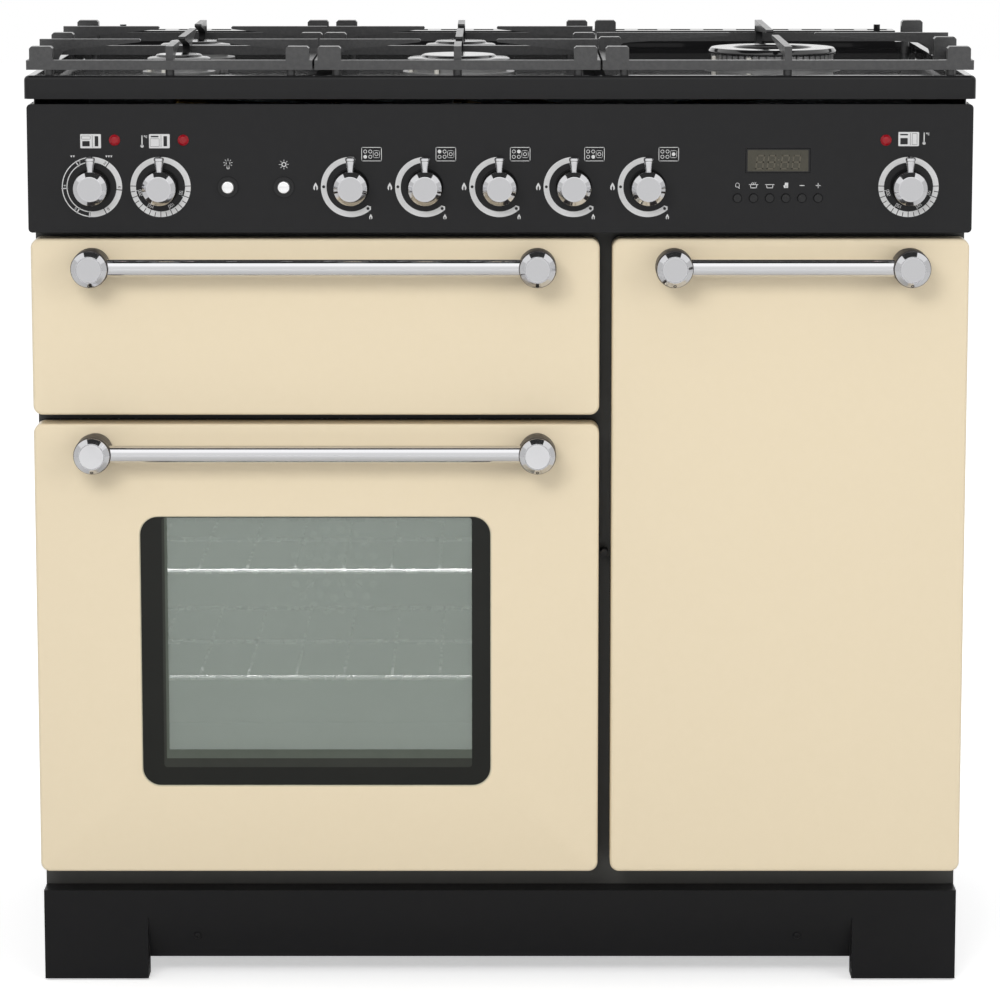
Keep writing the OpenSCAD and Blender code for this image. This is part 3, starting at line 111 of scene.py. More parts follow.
def make_world(ambient_level=0.62):
    """Even light from all round. The camera, metal and glass see it as plain white."""
    world = bpy.data.worlds.new("studio")
    bpy.context.scene.world = world
    world.use_nodes = True
    tree = world.node_tree
    tree.nodes.clear()
    link = tree.links.new
    path = add_node(tree, "ShaderNodeLightPath")
    seen = add_node(tree, "ShaderNodeMath", "MAXIMUM")
    link(path.outputs["Is Camera Ray"], seen.inputs[0])
    link(path.outputs["Is Transmission Ray"], seen.inputs[1])
    shown = add_node(tree, "ShaderNodeMath", "MAXIMUM")
    link(seen.outputs[0], shown.inputs[0])
    link(path.outputs["Is Glossy Ray"], shown.inputs[1])
    ambient = add_node(tree, "ShaderNodeBackground", Color=WHITE, Strength=ambient_level)
    white = add_node(tree, "ShaderNodeBackground", Color=WHITE, Strength=1.0)
    mix = add_node(tree, "ShaderNodeMixShader")
    link(shown.outputs[0], mix.inputs["Fac"])
    link(ambient.outputs[0], mix.inputs[1])
    link(white.outputs[0], mix.inputs[2])
    out = add_node(tree, "ShaderNodeOutputWorld")
    link(mix.outputs[0], out.inputs["Surface"])


def flat_quad(name, corners):
    """A mesh of one four-sided face."""
    mesh = bpy.data.meshes.new(name)
    mesh.from_pydata(corners, [], [(0, 1, 2, 3)])
    mesh.update()
    obj = bpy.data.objects.new(name, mesh)
    bpy.context.scene.collection.objects.link(obj)
    return obj


def level_corners(x0, x1, y0, y1, z):
    """The corners of a level rectangle."""
    return [(x0, y0, z), (x1, y0, z), (x1, y1, z), (x0, y1, z)]


def blank_material(name):
    """A new material with an empty tree, and that tree."""
    mat = bpy.data.materials.new(name)
    mat.use_nodes = True
    mat.node_tree.nodes.clear()
    return mat, mat.node_tree


def make_floor(half=14.0, grey=0.86, near=2.4, far=5.0, far_level=0.3, camera_level=0.5):
    """A white floor. Metal mirrors the floor near the cooker a little darker than far off."""
    floor = flat_quad("floor", level_corners(-half, half, -half, half, 0))
    mat, tree = blank_material("floor")
    link = tree.links.new
    path = add_node(tree, "ShaderNodeLightPath")
    diffuse = add_node(tree, "ShaderNodeBsdfDiffuse", Color=(grey, grey, grey, 1.0))
    place = add_node(tree, "ShaderNodeTexCoord")
    away = add_node(tree, "ShaderNodeVectorMath", "LENGTH")
    link(place.outputs["Object"], away.inputs[0])
    level_far = add_node(tree, "ShaderNodeMapRange", From_Min=near, From_Max=far, To_Max=far_level)
    link(away.outputs["Value"], level_far.inputs["Value"])
    mirrored = add_node(tree, "ShaderNodeMath", "MULTIPLY")
    link(path.outputs["Is Glossy Ray"], mirrored.inputs[0])
    link(level_far.outputs["Result"], mirrored.inputs[1])
    level = add_node(tree, "ShaderNodeMath", "MULTIPLY_ADD")
    level.inputs[1].default_value = camera_level
    link(path.outputs["Is Camera Ray"], level.inputs[0])
    link(mirrored.outputs[0], level.inputs[2])
    glow = add_node(tree, "ShaderNodeEmission", Color=WHITE)
    link(level.outputs[0], glow.inputs["Strength"])
    add = add_node(tree, "ShaderNodeAddShader")
    link(diffuse.outputs[0], add.inputs[0])
    link(glow.outputs[0], add.inputs[1])
    out = add_node(tree, "ShaderNodeOutputMaterial")
    link(add.outputs[0], out.inputs["Surface"])
    floor.data.materials.append(mat)


def card(name, corners, level):
    """A studio card that only polished surfaces mirror: it lights nothing and hides nothing."""
    made = flat_quad(name, corners)
    mat, tree = blank_material(name)
    mat.cycles.emission_sampling = "NONE"
    glow = add_node(tree, "ShaderNodeEmission", Color=WHITE, Strength=level)
    out = add_node(tree, "ShaderNodeOutputMaterial")
    tree.links.new(glow.outputs[0], out.inputs["Surface"])
    made.data.materials.append(mat)
    made.visible_camera = False
    made.visible_diffuse = False
    made.visible_transmission = False
    made.visible_shadow = False


def make_cards(top=2.9, wall_x=3.2, wall_top=2.2):
    """A dark card overhead, a bright one before it, grey walls, and a dark strip behind the hob."""
    card("overhead", level_corners(-1.35, 1.25, -0.95, 0.9, top), 0.04)
    card("ceiling", level_corners(-2.6, 2.6, -4.2, -0.96, top), 1.4)
    strip_x, strip_y, strip_low, strip_high = 0.44, 0.2105, 0.884, 0.909
    card("behind_hob", [(-strip_x, strip_y, strip_low), (strip_x, strip_y, strip_low),
                        (strip_x, strip_y, strip_high), (-strip_x, strip_y, strip_high)], 0.02)
    for name, x in (("wall_left", -wall_x), ("wall_right", wall_x)):
        card(name, [(x, -1.6, 0.0), (x, 1.2, 0.0), (x, 1.2, wall_top), (x, -1.6, wall_top)], 0.7)


make_camera()
make_world()
make_floor()
make_cards()
for box in (("key", (-0.9, -3.5, 2.25), (0.0, 0.0, 0.55), 1.6, 1.0, 50.0),
            ("fill", (2.6, -3.2, 1.6), (0.0, 0.0, 0.45), 2.0, 2.0, 26.0),
            ("rim", (0.6, 2.6, 2.8), (0.0, 0.0, 0.7), 2.6, 1.4, 30.0)):
    softbox(*box).visible_glossy = False
bpy.context.scene.view_settings.view_transform = "Standard"


# Materials

def linear(red, green, blue):
    """A colour given as 0 to 255, as the shader wants it."""
    def one(value):
        value /= 255.0
        return value / 12.92 if value <= 0.04045 else ((value + 0.055) / 1.055) ** 2.4
    return one(red), one(green), one(blue), 1.0


class Finish:
    """One material: a Principled shader, with noise, speckle and bump added to it as needed."""

    # The part of the noise's range that clouds and smudges use, and a dot's full core
    CLOUDS = (0.35, 0.65)
    SMUDGES = (0.3, 0.7)
    DOT_CORE = 0.7

    def __init__(self, name, colour, rough, metal=0.0, spec=0.5, coat=0.0, coat_rough=0.05):
        self.mat = bpy.data.materials.new(name)
        self.mat.use_nodes = True
        self.tree = self.mat.node_tree
        self.shader = self.tree.nodes["Principled BSDF"]
        self.colour = colour
        for socket, value in (("Base Color", colour), ("Roughness", rough), ("Metallic", metal),
                              ("Specular IOR Level", spec), ("Coat Weight", coat),
                              ("Coat Roughness", coat_rough)):
            self.set(socket, value)
        self.normal = None
        self.base = None

    def set(self, socket, value):
        """Give one of the shader's own sockets a value."""
        self.shader.inputs[socket].default_value = value
        return self

    def node(self, kind, **sockets):
        """A node in the material's tree."""
        return add_node(self.tree, kind, **sockets)

    def link(self, out, into):
        self.tree.links.new(out, into)

    def where(self, stretch):
        """Object coordinates, stretched."""
        place = self.node("ShaderNodeTexCoord")
        mapping = self.node("ShaderNodeMapping", Scale=stretch)
        self.link(place.outputs["Object"], mapping.inputs["Vector"])
        return mapping.outputs["Vector"]

    def noise(self, scale, detail=3.0, stretch=(1.0, 1.0, 1.0)):
        """Cloudy noise over the object's own coordinates."""
        tex = self.node("ShaderNodeTexNoise", Scale=scale, Detail=detail, Roughness=0.5)
        self.link(self.where(stretch), tex.inputs["Vector"])
        return tex.outputs["Fac"]

    def spread(self, value, low, high, to_low, to_high):
        """Map a value's range to another."""
        made = self.node("ShaderNodeMapRange", From_Min=low, From_Max=high, To_Min=to_low,
                         To_Max=to_high)
        self.link(value, made.inputs["Value"])
        return made.outputs["Result"]

    def tint(self, value, other):
        """Blend the colour towards another one where value is 1."""
        mix = self.node("ShaderNodeMix")
        mix.data_type = "RGBA"
        self.link(value, mix.inputs["Factor"])
        if self.base is None:
            mix.inputs["A"].default_value = self.colour
        else:
            self.link(self.base, mix.inputs["A"])
        mix.inputs["B"].default_value = other
        self.base = mix.outputs["Result"]
        self.link(self.base, self.shader.inputs["Base Color"])
        return self

    def vary(self, scale, amount, other):
        """Soft cloudy colour variation."""
        return self.tint(self.spread(self.noise(scale), *self.CLOUDS, 0.0, amount), other)

    def speckle(self, scale, share, other, amount=1.0):
        """Small separate dots."""
        tex = self.node("ShaderNodeTexVoronoi", Scale=scale)
        self.link(self.where((1.0, 1.0, 1.0)), tex.inputs["Vector"])
        near = self.spread(tex.outputs["Distance"], share * self.DOT_CORE, share, amount, 0.0)
        return self.tint(near, other)

    def smudge(self, scale, low, high):
        """Roughness that changes a little from place to place."""
        value = self.spread(self.noise(scale), *self.SMUDGES, low, high)
        self.link(value, self.shader.inputs["Roughness"])
        return self

    def bump(self, scale, depth, detail=3.0, stretch=(1.0, 1.0, 1.0)):
        """Fine unevenness; depth in metres."""
        made = self.node("ShaderNodeBump", Strength=1.0, Distance=depth)
        self.link(self.noise(scale, detail=detail, stretch=stretch), made.inputs["Height"])
        if self.normal is not None:
            self.link(self.normal, made.inputs["Normal"])
        self.normal = made.outputs["Normal"]
        self.link(self.normal, self.shader.inputs["Normal"])
        return self

    def soft_edges(self, radius):
        """Edges that catch the light as if rounded by this radius, in metres."""
        made = self.node("ShaderNodeBevel", Radius=radius)
        made.samples = 4
        self.normal = made.outputs["Normal"]
        self.link(self.normal, self.shader.inputs["Normal"])
        return self


def enamel_black(name, colour=linear(31, 31, 32), rough=0.2, spec=0.2, edge=0.0012):
    """Dark vitreous enamel: smooth, with a faint orange peel and slightly paler clouds."""
    paler = tuple(c * 1.2 for c in colour[:3]) + (1.0,)
    made = Finish(name, colour, rough, spec=spec)
    made.soft_edges(edge)
    made.bump(240.0, 0.000004, detail=1.0)
    made.smudge(260.0, rough - 0.02, rough + 0.03)
    made.vary(90.0, 0.25, paler)
    return made


M = {}
M["black"] = enamel_black("black_enamel")
M["top"] = enamel_black("hotplate_enamel", linear(28, 28, 29), 0.04, 0.22, 0.0004)
M["back"] = enamel_black("door_back_enamel", linear(24, 24, 25), 0.25, 0.35)
# The frame's dark enamel, set a little lighter than its own colour: painted light that lifts the shaded gap
# between the doors
M["frame"] = enamel_black("frame_enamel", linear(72, 72, 70), 0.3, 0.25)
M["plinth"] = enamel_black("plinth_paint", linear(26, 26, 27), 0.34, 0.12)
# Black plastic of the knob skirts and the handles' grub screws, darker than the other black plastic: partly its
# own colour, partly painted shade round the knobs' bases
M["skirt"] = enamel_black("knob_skirt", linear(9, 9, 9), 0.35, 0.1, 0.0004)
M["case"] = Finish("casing_paint", linear(34, 34, 35), 0.42, spec=0.3)
M["case"].soft_edges(0.0008).bump(900.0, 0.00004).smudge(6.0, 0.38, 0.5)
M["cream"] = Finish("cream_enamel", linear(225, 210, 181), 0.3, spec=0.42)
M["cream"].soft_edges(0.0015).bump(210.0, 0.000004, detail=1.0).smudge(230.0, 0.28, 0.33)
M["cream"].vary(120.0, 0.3, linear(223, 208, 178))
M["oven"] = Finish("oven_enamel", linear(52, 55, 54), 0.3, spec=0.45)
M["oven"].speckle(620.0, 0.13, linear(150, 152, 148), 0.55).soft_edges(0.001)
M["oven"].bump(120.0, 0.00003, detail=1.0)
M["zinc"] = Finish("galvanised", linear(176, 180, 184), 0.36, metal=0.85)
M["zinc"].vary(55.0, 0.4, linear(158, 162, 167)).speckle(130.0, 0.6, linear(190, 193, 196), 0.35)
M["zinc"].smudge(60.0, 0.3, 0.42).bump(70.0, 0.00001)
M["steel"] = Finish("steel", linear(150, 151, 152), 0.34, metal=1.0)
M["steel"].soft_edges(0.0004).bump(240.0, 0.00002, stretch=(1.0, 1.0, 12.0))
M["dark"] = Finish("blackened_steel", linear(38, 38, 39), 0.42, metal=0.6)
M["dark"].soft_edges(0.0004).vary(120.0, 0.5, linear(48, 47, 46)).smudge(90.0, 0.36, 0.5)
M["iron"] = Finish("cast_iron_enamel", linear(44, 44, 45), 0.34, spec=0.6, coat=0.4, coat_rough=0.2)
M["iron"].bump(700.0, 0.0002, detail=4.0).smudge(240.0, 0.28, 0.44)
M["iron"].vary(300.0, 0.5, linear(62, 62, 62))
M["alloy"] = Finish("burner_alloy", linear(176, 176, 176), 0.36, metal=0.85)
M["alloy"].soft_edges(0.0005).bump(330.0, 0.00003).vary(90.0, 0.5, linear(150, 150, 150))
M["cap"] = Finish("burner_cap_enamel", linear(22, 22, 23), 0.1, spec=0.6, coat=0.5)
M["cap"].bump(300.0, 0.000005, detail=1.0).smudge(200.0, 0.08, 0.14)
M["ceramic"] = Finish("spark_ceramic", linear(226, 224, 216), 0.22, spec=0.5)
M["ceramic"].vary(220.0, 0.4, linear(200, 196, 184))
M["brass"] = Finish("brass", linear(196, 160, 92), 0.3, metal=1.0)
M["brass"].vary(60.0, 0.6, linear(160, 128, 76)).smudge(80.0, 0.24, 0.42)
M["plastic"] = Finish("black_plastic", linear(20, 20, 21), 0.42, spec=0.4)
M["plastic"].soft_edges(0.0004).bump(700.0, 0.00003).smudge(40.0, 0.36, 0.5)
M["rubber"] = Finish("rubber", linear(34, 34, 34), 0.7, spec=0.3)
M["rubber"].bump(500.0, 0.00006).vary(40.0, 0.5, linear(48, 47, 46))
M["chrome"] = Finish("chrome", linear(212, 212, 214), 0.06, metal=1.0)
M["chrome"].smudge(90.0, 0.05, 0.09)
M["collar"] = Finish("handle_collar", linear(66, 62, 62), 0.42, metal=0.3)
M["collar"].smudge(200.0, 0.38, 0.5).bump(900.0, 0.00001)
M["wire"] = Finish("chromed_wire", linear(214, 214, 214), 0.25, metal=0.9)
M["wire"].smudge(90.0, 0.2, 0.34)
M["button"] = Finish("button_chrome", linear(246, 246, 246), 0.12, metal=0.85)
M["button"].smudge(300.0, 0.1, 0.18)
M["print"] = Finish("silver_print", linear(206, 206, 206), 0.5, spec=0.2)
M["print"].vary(900.0, 0.35, linear(190, 190, 190))
M["ink"] = Finish("black_ink", linear(36, 36, 37), 0.4, spec=0.2)
M["ink"].vary(400.0, 0.4, linear(42, 42, 43))
M["neon"] = Finish("neon_lens", linear(128, 6, 20), 0.12, spec=0.4)
M["neon"].set("Emission Color", linear(200, 10, 30)).set("Emission Strength", 0.04)
M["neon"].vary(300.0, 0.5, linear(160, 14, 30))
M["display"] = Finish("display", linear(66, 64, 56), 0.3, spec=0.25)
M["display"].vary(40.0, 0.5, linear(74, 71, 62))
M["digits"] = Finish("display_digits", linear(90, 86, 76), 0.4, spec=0.2)
M["digits"].vary(500.0, 0.3, linear(82, 79, 70))
M["mask"] = Finish("window_print", linear(24, 25, 22), 0.16, spec=0.2)
M["mask"].vary(20.0, 0.4, linear(29, 30, 26))
# Two greys for the window's painted shade: the stepped strips over the inner pane's edge
M["shade_1"] = Finish("window_shade_1", linear(78, 84, 76), 0.2, spec=0.2)
M["shade_1"].vary(60.0, 0.4, linear(84, 90, 82))
M["shade_2"] = Finish("window_shade_2", linear(46, 48, 43), 0.2, spec=0.2)
M["shade_2"].vary(60.0, 0.4, linear(52, 54, 49))
M["trim"] = Finish("window_rim", linear(196, 190, 166), 0.3, spec=0.5)
M["trim"].vary(50.0, 0.3, linear(210, 204, 180))


def make_glass(name, colour, alpha):
    """Tinted oven glass: partly see-through, with slightly darker clouds."""
    darker = tuple(c * 0.93 for c in colour[:3]) + (1.0,)
    made = Finish(name, colour, 0.05, spec=0.3)
    made.vary(5.0, 0.5, darker)
    made.set("Alpha", alpha)
    return made


M["glass"] = make_glass("front_glass", linear(167, 177, 169), 0.42)
M["inner_glass"] = make_glass("inner_glass", linear(150, 158, 150), 0.12)

# The CAD nodes that have each finish, apart from the knobs and the timer's buttons
SKINS = {
    "zinc": "base_tray back_panel fan_motors",
    "case": "side_panels",
    "frame": "front_frame",
    "plinth": "plinth",
    "steel": "levelling_feet heating_elements left_fan right_fan",
    "plastic": "left_roller right_roller timer_unit control_units",
    "top": "hotplate vent_strip",
    "iron": "left_pan_support middle_pan_support right_pan_support",
    "alloy": "burner_heads",
    "cap": "burner_caps",
    "ceramic": "spark_electrodes",
    "black": "control_panel",
    "neon": "lamp_lenses",
    "brass": "gas_rail",
    "button": "light_button ignition_button",
    "oven": "grill_chamber grill_pan left_oven_liner right_oven_liner fan_covers",
    "wire": "grill_grid oven_shelves",
    "dark": "hinge_fittings",
    "rubber": "door_seals",
    "cream": "grill_door left_door right_door",
    "back": "grill_door_back left_door_back right_door_back",
    "chrome": "grill_door_handle left_door_handle right_door_handle",
    "glass": "left_door_glass",
}


def is_knob(name):
    """True for the eight turning knobs."""
    return name.endswith("_knob") or name.startswith("gas_knob")


def finish_of(name):
    """The finish of a CAD node."""
    if is_knob(name):
        return "chrome"
    if name.startswith("timer_button"):
        return "plastic"
    return next(finish for finish, held in SKINS.items() if name in held.split())


def dress(node, finish):
    """Give a CAD node its material, smooth shading and sharp edges."""
    obj = nodes[node]
    obj.data.materials.clear()
    obj.data.materials.append(M[finish].mat)
    weld = obj.modifiers.new("weld", "WELD")
    weld.merge_threshold = WELD
    for face in obj.data.polygons:
        face.use_smooth = True
    smooth_by_angle(obj)


def smooth_by_angle(obj, degrees=32.0):
    """Keep shading smooth only across gentle edges."""
    sharp = obj.modifiers.new("split", "EDGE_SPLIT")
    sharp.use_edge_angle = True
    sharp.use_edge_sharp = False
    sharp.split_angle = math.radians(degrees)


for name in nodes:
    dress(name, finish_of(name))


# Mesh helpers

def piece(name, mesh, finish, body, smooth=True):
    """Add a mesh as a piece that rides on a body."""
    obj = bpy.data.objects.new(name, mesh)
    bpy.context.scene.collection.objects.link(obj)
    mesh.materials.append(M[finish].mat)
    for face in mesh.polygons:
        face.use_smooth = smooth
    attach(obj, body)
    return obj


def from_bmesh(name, bm, outwards=True):
    """A mesh from a bmesh. Outwards turns the faces of a closed shape outwards."""
    mesh = bpy.data.meshes.new(name)
    if outwards:
        bmesh.ops.recalc_face_normals(bm, faces=bm.faces)
    bm.to_mesh(mesh)
    bm.free()
    return mesh


def lathe(bm, profile, place, turn, steps):
    """Spin a profile of (radius, height) pairs about local Z, then turn and move it."""
    on_axis = 1e-7
    rings = []
    for radius, height in profile:
        if radius < on_axis:
            rings.append([bm.verts.new(place + turn @ Vector((0, 0, height)))])
            continue
        rings.append([
            bm.verts.new(place + turn @ Vector((radius * math.cos(2 * math.pi * i / steps),
                                                radius * math.sin(2 * math.pi * i / steps),
                                                height)))
            for i in range(steps)])
    for a, b in zip(rings, rings[1:]):
        for i in range(steps):
            j = (i + 1) % steps
            corners = [a[i % len(a)], a[j % len(a)], b[j % len(b)], b[i % len(b)]]
            kept = [v for k, v in enumerate(corners) if v not in corners[:k]]
            if len(kept) > 2:
                bm.faces.new(kept)


TO_FRONT = Matrix.Rotation(math.radians(90), 3, "X")
TO_BACK = Matrix.Rotation(math.radians(-90), 3, "X")
UPRIGHT = Matrix.Identity(3)


def soften(profile, radius, steps=3, most=0.4, guard=1.3):
    """Round a profile's inner corners, with a close ring on each side that keeps the flats flat.

    A corner takes up at most a share of each side, and its outer rings lie guard times as far off.
    """
    made = [profile[0]]
    for before, corner, after in zip(profile, profile[1:], profile[2:]):
        corner = Vector(corner)
        back, ahead = Vector(before) - corner, Vector(after) - corner
        reach = min(radius, back.length * most, ahead.length * most)
        start, end = corner + back.normalized() * reach, corner + ahead.normalized() * reach
        made.append(tuple(corner + back.normalized() * reach * guard))
        for i in range(steps + 1):
            t = i / steps
            made.append(tuple(start * (1 - t) ** 2 + corner * 2 * t * (1 - t) + end * t ** 2))
        made.append(tuple(corner + ahead.normalized() * reach * guard))
    made.append(profile[-1])
    return made


def turned(bm, profile, place, turn, radius, steps=96):
    """A lathe part from a profile in millimetres, with its corners rounded."""
    soft = soften(profile, radius)
    lathe(bm, [(r * MM, h * MM) for r, h in soft], Vector(place), turn, steps)


def rounded_copy(node, finish, radius, segments, pick=None):
    """Replace a CAD node by a copy with rounded edges: all that are sharp, or those picked."""
    level, sharp = math.radians(0.6), math.radians(30)
    bm = bmesh.new()
    bm.from_mesh(nodes[node].data)
    bmesh.ops.remove_doubles(bm, verts=bm.verts, dist=WELD)
    bmesh.ops.dissolve_limit(bm, angle_limit=level, verts=bm.verts, edges=bm.edges)
    edges = [e for e in bm.edges if len(e.link_faces) == 2
             and e.calc_face_angle(0.0) > sharp and (pick is None or pick(e))]
    bmesh.ops.bevel(bm, geom=edges, offset=radius, offset_type="OFFSET", segments=segments,
                    profile=0.5, affect="EDGES", clamp_overlap=True)
    made = piece(node + "_shape", from_bmesh(node, bm), finish, body_of_node(node))
    smooth_by_angle(made, 40.0)
    flat = made.modifiers.new("flat", "WEIGHTED_NORMAL")
    flat.keep_sharp = True
    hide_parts(node)


def body_of_node(node):
    """The body that a CAD node rides on."""
    return next(body for body, held in frame["record"]["behaviour"]["bodies"].items()
                if node in held)


class Print:
    """Flat printed shapes on an upright face: everything in millimetres from a centre."""

    def __init__(self, y, proud=0.08):
        self.bm = bmesh.new()
        self.y = y - proud * MM
        self.cx = self.cz = 0.0

    def at(self, x, z):
        """Set the centre, in metres."""
        self.cx, self.cz = x, z
        return self

    def point(self, p):
        """A vertex at a place in millimetres from the centre."""
        return self.bm.verts.new((self.cx + p[0] * MM, self.y, self.cz + p[1] * MM))

    def fill(self, points):
        """A filled outline."""
        self.bm.faces.new([self.point(p) for p in points])

    def disc(self, x, z, radius, steps=20):
        """A filled circle."""
        self.fill([(x + radius * math.cos(2 * math.pi * i / steps),
                    z + radius * math.sin(2 * math.pi * i / steps)) for i in range(steps)])

    def band(self, inner, outer, start, end, x=0.0, z=0.0):
        """Part of a ring, from one angle to another, in degrees anticlockwise from 3 o'clock."""
        step_degrees = 3.0
        steps = max(3, int(abs(end - start) / step_degrees))
        old = None
        for i in range(steps + 1):
            a = math.radians(start + (end - start) * i / steps)
            c, s = math.cos(a), math.sin(a)
            new = (self.point((x + inner * c, z + inner * s)),
                   self.point((x + outer * c, z + outer * s)))
            if old:
                self.bm.faces.new((old[0], old[1], new[1], new[0]))
            old = new

    def line(self, points, width, closed=False):
        """A line of even width with round corners."""
        ends = points[1:] + points[:1] if closed else points[1:]
        for (x0, z0), (x1, z1) in zip(points, ends):
            length = math.hypot(x1 - x0, z1 - z0) or 1.0
            nx, nz = -(z1 - z0) / length * width / 2, (x1 - x0) / length * width / 2
            self.fill([(x0 + nx, z0 + nz), (x0 - nx, z0 - nz), (x1 - nx, z1 - nz),
                       (x1 + nx, z1 + nz)])
        for x, z in points:
            self.disc(x, z, width / 2, 10)

    def frame_line(self, x, z, w, h, r, width):
        """The outline of a rectangle with rounded corners."""
        self.line(rounded(x, z, w, h, r), width, closed=True)

    def done(self, name, finish, body="cooker", slot="button_plastic"):
        """Make the print a piece."""
        piece(name, from_bmesh(name, self.bm, outwards=False), finish, body, smooth=False)


def rounded(x, z, w, h, r, steps=5):
    """Points of a rectangle with rounded corners, centred on x, z."""
    points = []
    for cx, cz, start in ((w / 2 - r, h / 2 - r, 0), (-w / 2 + r, h / 2 - r, 90),
                          (-w / 2 + r, -h / 2 + r, 180), (w / 2 - r, -h / 2 + r, 270)):
        for i in range(steps + 1):
            a = math.radians(start + 90.0 * i / steps)
            points.append((x + cx + r * math.cos(a), z + cz + r * math.sin(a)))
    return points


def bridge(bm, rings):
    """Join closed rings of as many points each with faces."""
    for a, b in zip(rings, rings[1:]):
        for i in range(len(a)):
            j = (i + 1) % len(a)
            bm.faces.new((a[i], a[j], b[j], b[i]))


def polar(angle, radius):
    """The point at an angle, in radians, and a distance from a centre."""
    return radius * math.cos(angle), radius * math.sin(angle)


def spoke(art, degrees, inner, outer, width, lag=0.0):
    """A line across a dial's ring, at an angle less a small lag in radians."""
    a = math.radians(degrees) - lag
    art.line([polar(a, inner), polar(a, outer)], width)


# The lines of each digit, in a box 2 wide and 4 high
STROKES = {
    "0": [[(0, 0), (0, 4), (2, 4), (2, 0), (0, 0)]],
    "1": [[(0.4, 3.2), (1.2, 4), (1.2, 0)]],
    "2": [[(0, 4), (2, 4), (2, 2.1), (0, 1.9), (0, 0), (2, 0)]],
    "4": [[(1.5, 0), (1.5, 4), (0, 1.2), (2.2, 1.2)]],
    "5": [[(2, 4), (0, 4), (0, 2.2), (2, 2.2), (2, 0), (0, 0)]],
    "6": [[(2, 4), (0, 4), (0, 0), (2, 0), (2, 2.1), (0, 2.1)]],
    "8": [[(0, 0), (0, 4), (2, 4), (2, 0), (0, 0)], [(0, 2), (2, 2)]],
}


def number(art, text, radius, degrees, height, width):
    """Digits set round a dial, upright towards its rim."""
    up = Vector(polar(math.radians(degrees), 1.0))
    right = Vector((up.y, -up.x))
    tall, step, gap = 4.0, 3.0, 1.0
    scale = height / tall
    start = -(len(text) * step - gap) / 2
    for k, digit in enumerate(text):
        across = start + k * step
        for stroke in STROKES[digit]:
            points = [up * radius + right * ((across + px) * scale)
                      + up * ((pz - tall / 2) * scale) for px, pz in stroke]
            art.line([(p.x, p.y) for p in points], width)


# The printed panel

PANEL_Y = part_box("control_panel")[0].y
silver = Print(PANEL_Y)
ink = Print(PANEL_Y, 0.14)
# The outer radius and the width of the ring round a knob, in millimetres
RING = 28.6
BAND = 5.3


def centre_on(child):
    """Set both prints' centre on a knob's spindle."""
    silver.at(pivots[child].x, pivots[child].z)
    ink.at(pivots[child].x, pivots[child].z)


def flame(x, z, size):
    """A small gas flame: a pale drop with a dark heart."""
    outer = [(0, 1.0), (0.3, 0.5), (0.55, 0.0), (0.6, -0.5), (0.4, -0.95), (-0.4, -0.95),
             (-0.6, -0.5), (-0.55, 0.0), (-0.3, 0.5)]
    heart = [(0, 0.2), (0.2, -0.3), (0.22, -0.95), (-0.22, -0.95), (-0.2, -0.3)]
    silver.fill([(x + p * size, z + q * size) for p, q in outer])
    ink.fill([(x + p * size, z + q * size) for p, q in heart])


def hob_icon(x, z, chosen):
    """A small map of the five burners, with the knob's own burner filled."""
    silver.frame_line(x, z, 18.7, 12.8, 0.6, 0.55)
    spots = [(-6.0, -2.5), (-6.0, 2.5), (-1.2, 2.5), (-1.2, -2.5), (4.6, 0.0)]
    for i, (dx, dz) in enumerate(spots):
        if i == chosen:
            silver.disc(x + dx, z + dz, 1.75)
        else:
            silver.band(1.25, 1.75, 0, 360, x + dx, z + dz)
    silver.frame_line(x + 4.6, z, 6.0, 6.6, 0.8, 0.4)


def gas_dial(child, chosen):
    """A gas tap's arc from high to low, ending in a point, with two flames and the burner map."""
    centre_on(child)
    half, dot = BAND / 2, 1.4
    # The first tap's arc starts further round than the others'
    start, end = 84.0 if chosen == 0 else 95.0, 308.0
    silver.band(RING - BAND, RING, start, end)
    out = Vector(polar(math.radians(end), 1.0))
    along = Vector((-out.y, out.x))
    mid = out * (RING - half)
    tip = [mid - along * 0.5 - out * half, mid - along * 0.5 + out * half,
           mid + along * 1.4 + out * half, mid + along * 3.4 + out * 0.2,
           mid + along * 1.4 - out * half]
    silver.fill([(p.x, p.y) for p in tip])
    ink.disc(mid.x, mid.y, dot)
    ink.disc(-(RING - half), 0.2, dot)
    flame(-RING - 5.0, 0.6, 3.7)
    flame(18.6, -28.2, 2.6)
    hob_icon(19.6, 31.2, chosen)


def oven_icon(x, z, lit):
    """A small picture of the cooker with one oven lit."""
    silver.fill(rounded(x, z, 19.6, 13.4, 0.8))
    shades = {"grill": [(-4.4, 3.4, 8.4, 3.0, "dim"), (-4.4, -2.4, 7.0, 5.0, "dark"),
                        (5.6, 0.0, 3.4, 9.6, "dark")],
              "left": [(-4.4, 4.4, 7.4, 1.4, "dark"), (-4.4, -1.4, 8.6, 7.4, "dim"),
                       (5.6, 0.0, 3.4, 9.6, "dark")],
              "right": [(-4.4, 4.2, 7.4, 1.4, "dark"), (-4.4, -2.0, 7.0, 6.0, "dark"),
                        (5.6, 0.0, 4.6, 10.6, "dim")]}
    for dx, dz, w, h, kind in shades[lit]:
        if kind == "dark":
            ink.fill(rounded(x + dx, z + dz, w, h, 0.5))
        else:
            ink.frame_line(x + dx, z + dz, w, h, 0.5, 0.3)
    ink.line([(x + 1.6, z - 5.6), (x + 1.6, z + 5.6)], 0.35)


def thermometer(x, z):
    """A thermometer and a small degree sign with a C."""
    silver.line([(x, z - 4.5), (x, z + 5.0)], 1.0)
    silver.disc(x, z - 4.8, 1.5)
    silver.band(0.35, 0.75, 0, 360, x + 2.4, z + 4.6)
    silver.band(0.7, 1.15, 60, 300, x + 4.5, z + 3.9)


def arrows(x, z, count):
    """A row of small arrowheads that point down."""
    for i in range(count):
        cx = x + (i - (count - 1) / 2) * 2.3
        silver.fill([(cx - 1.0, z + 0.9), (cx, z - 1.1), (cx + 1.0, z + 0.9)])


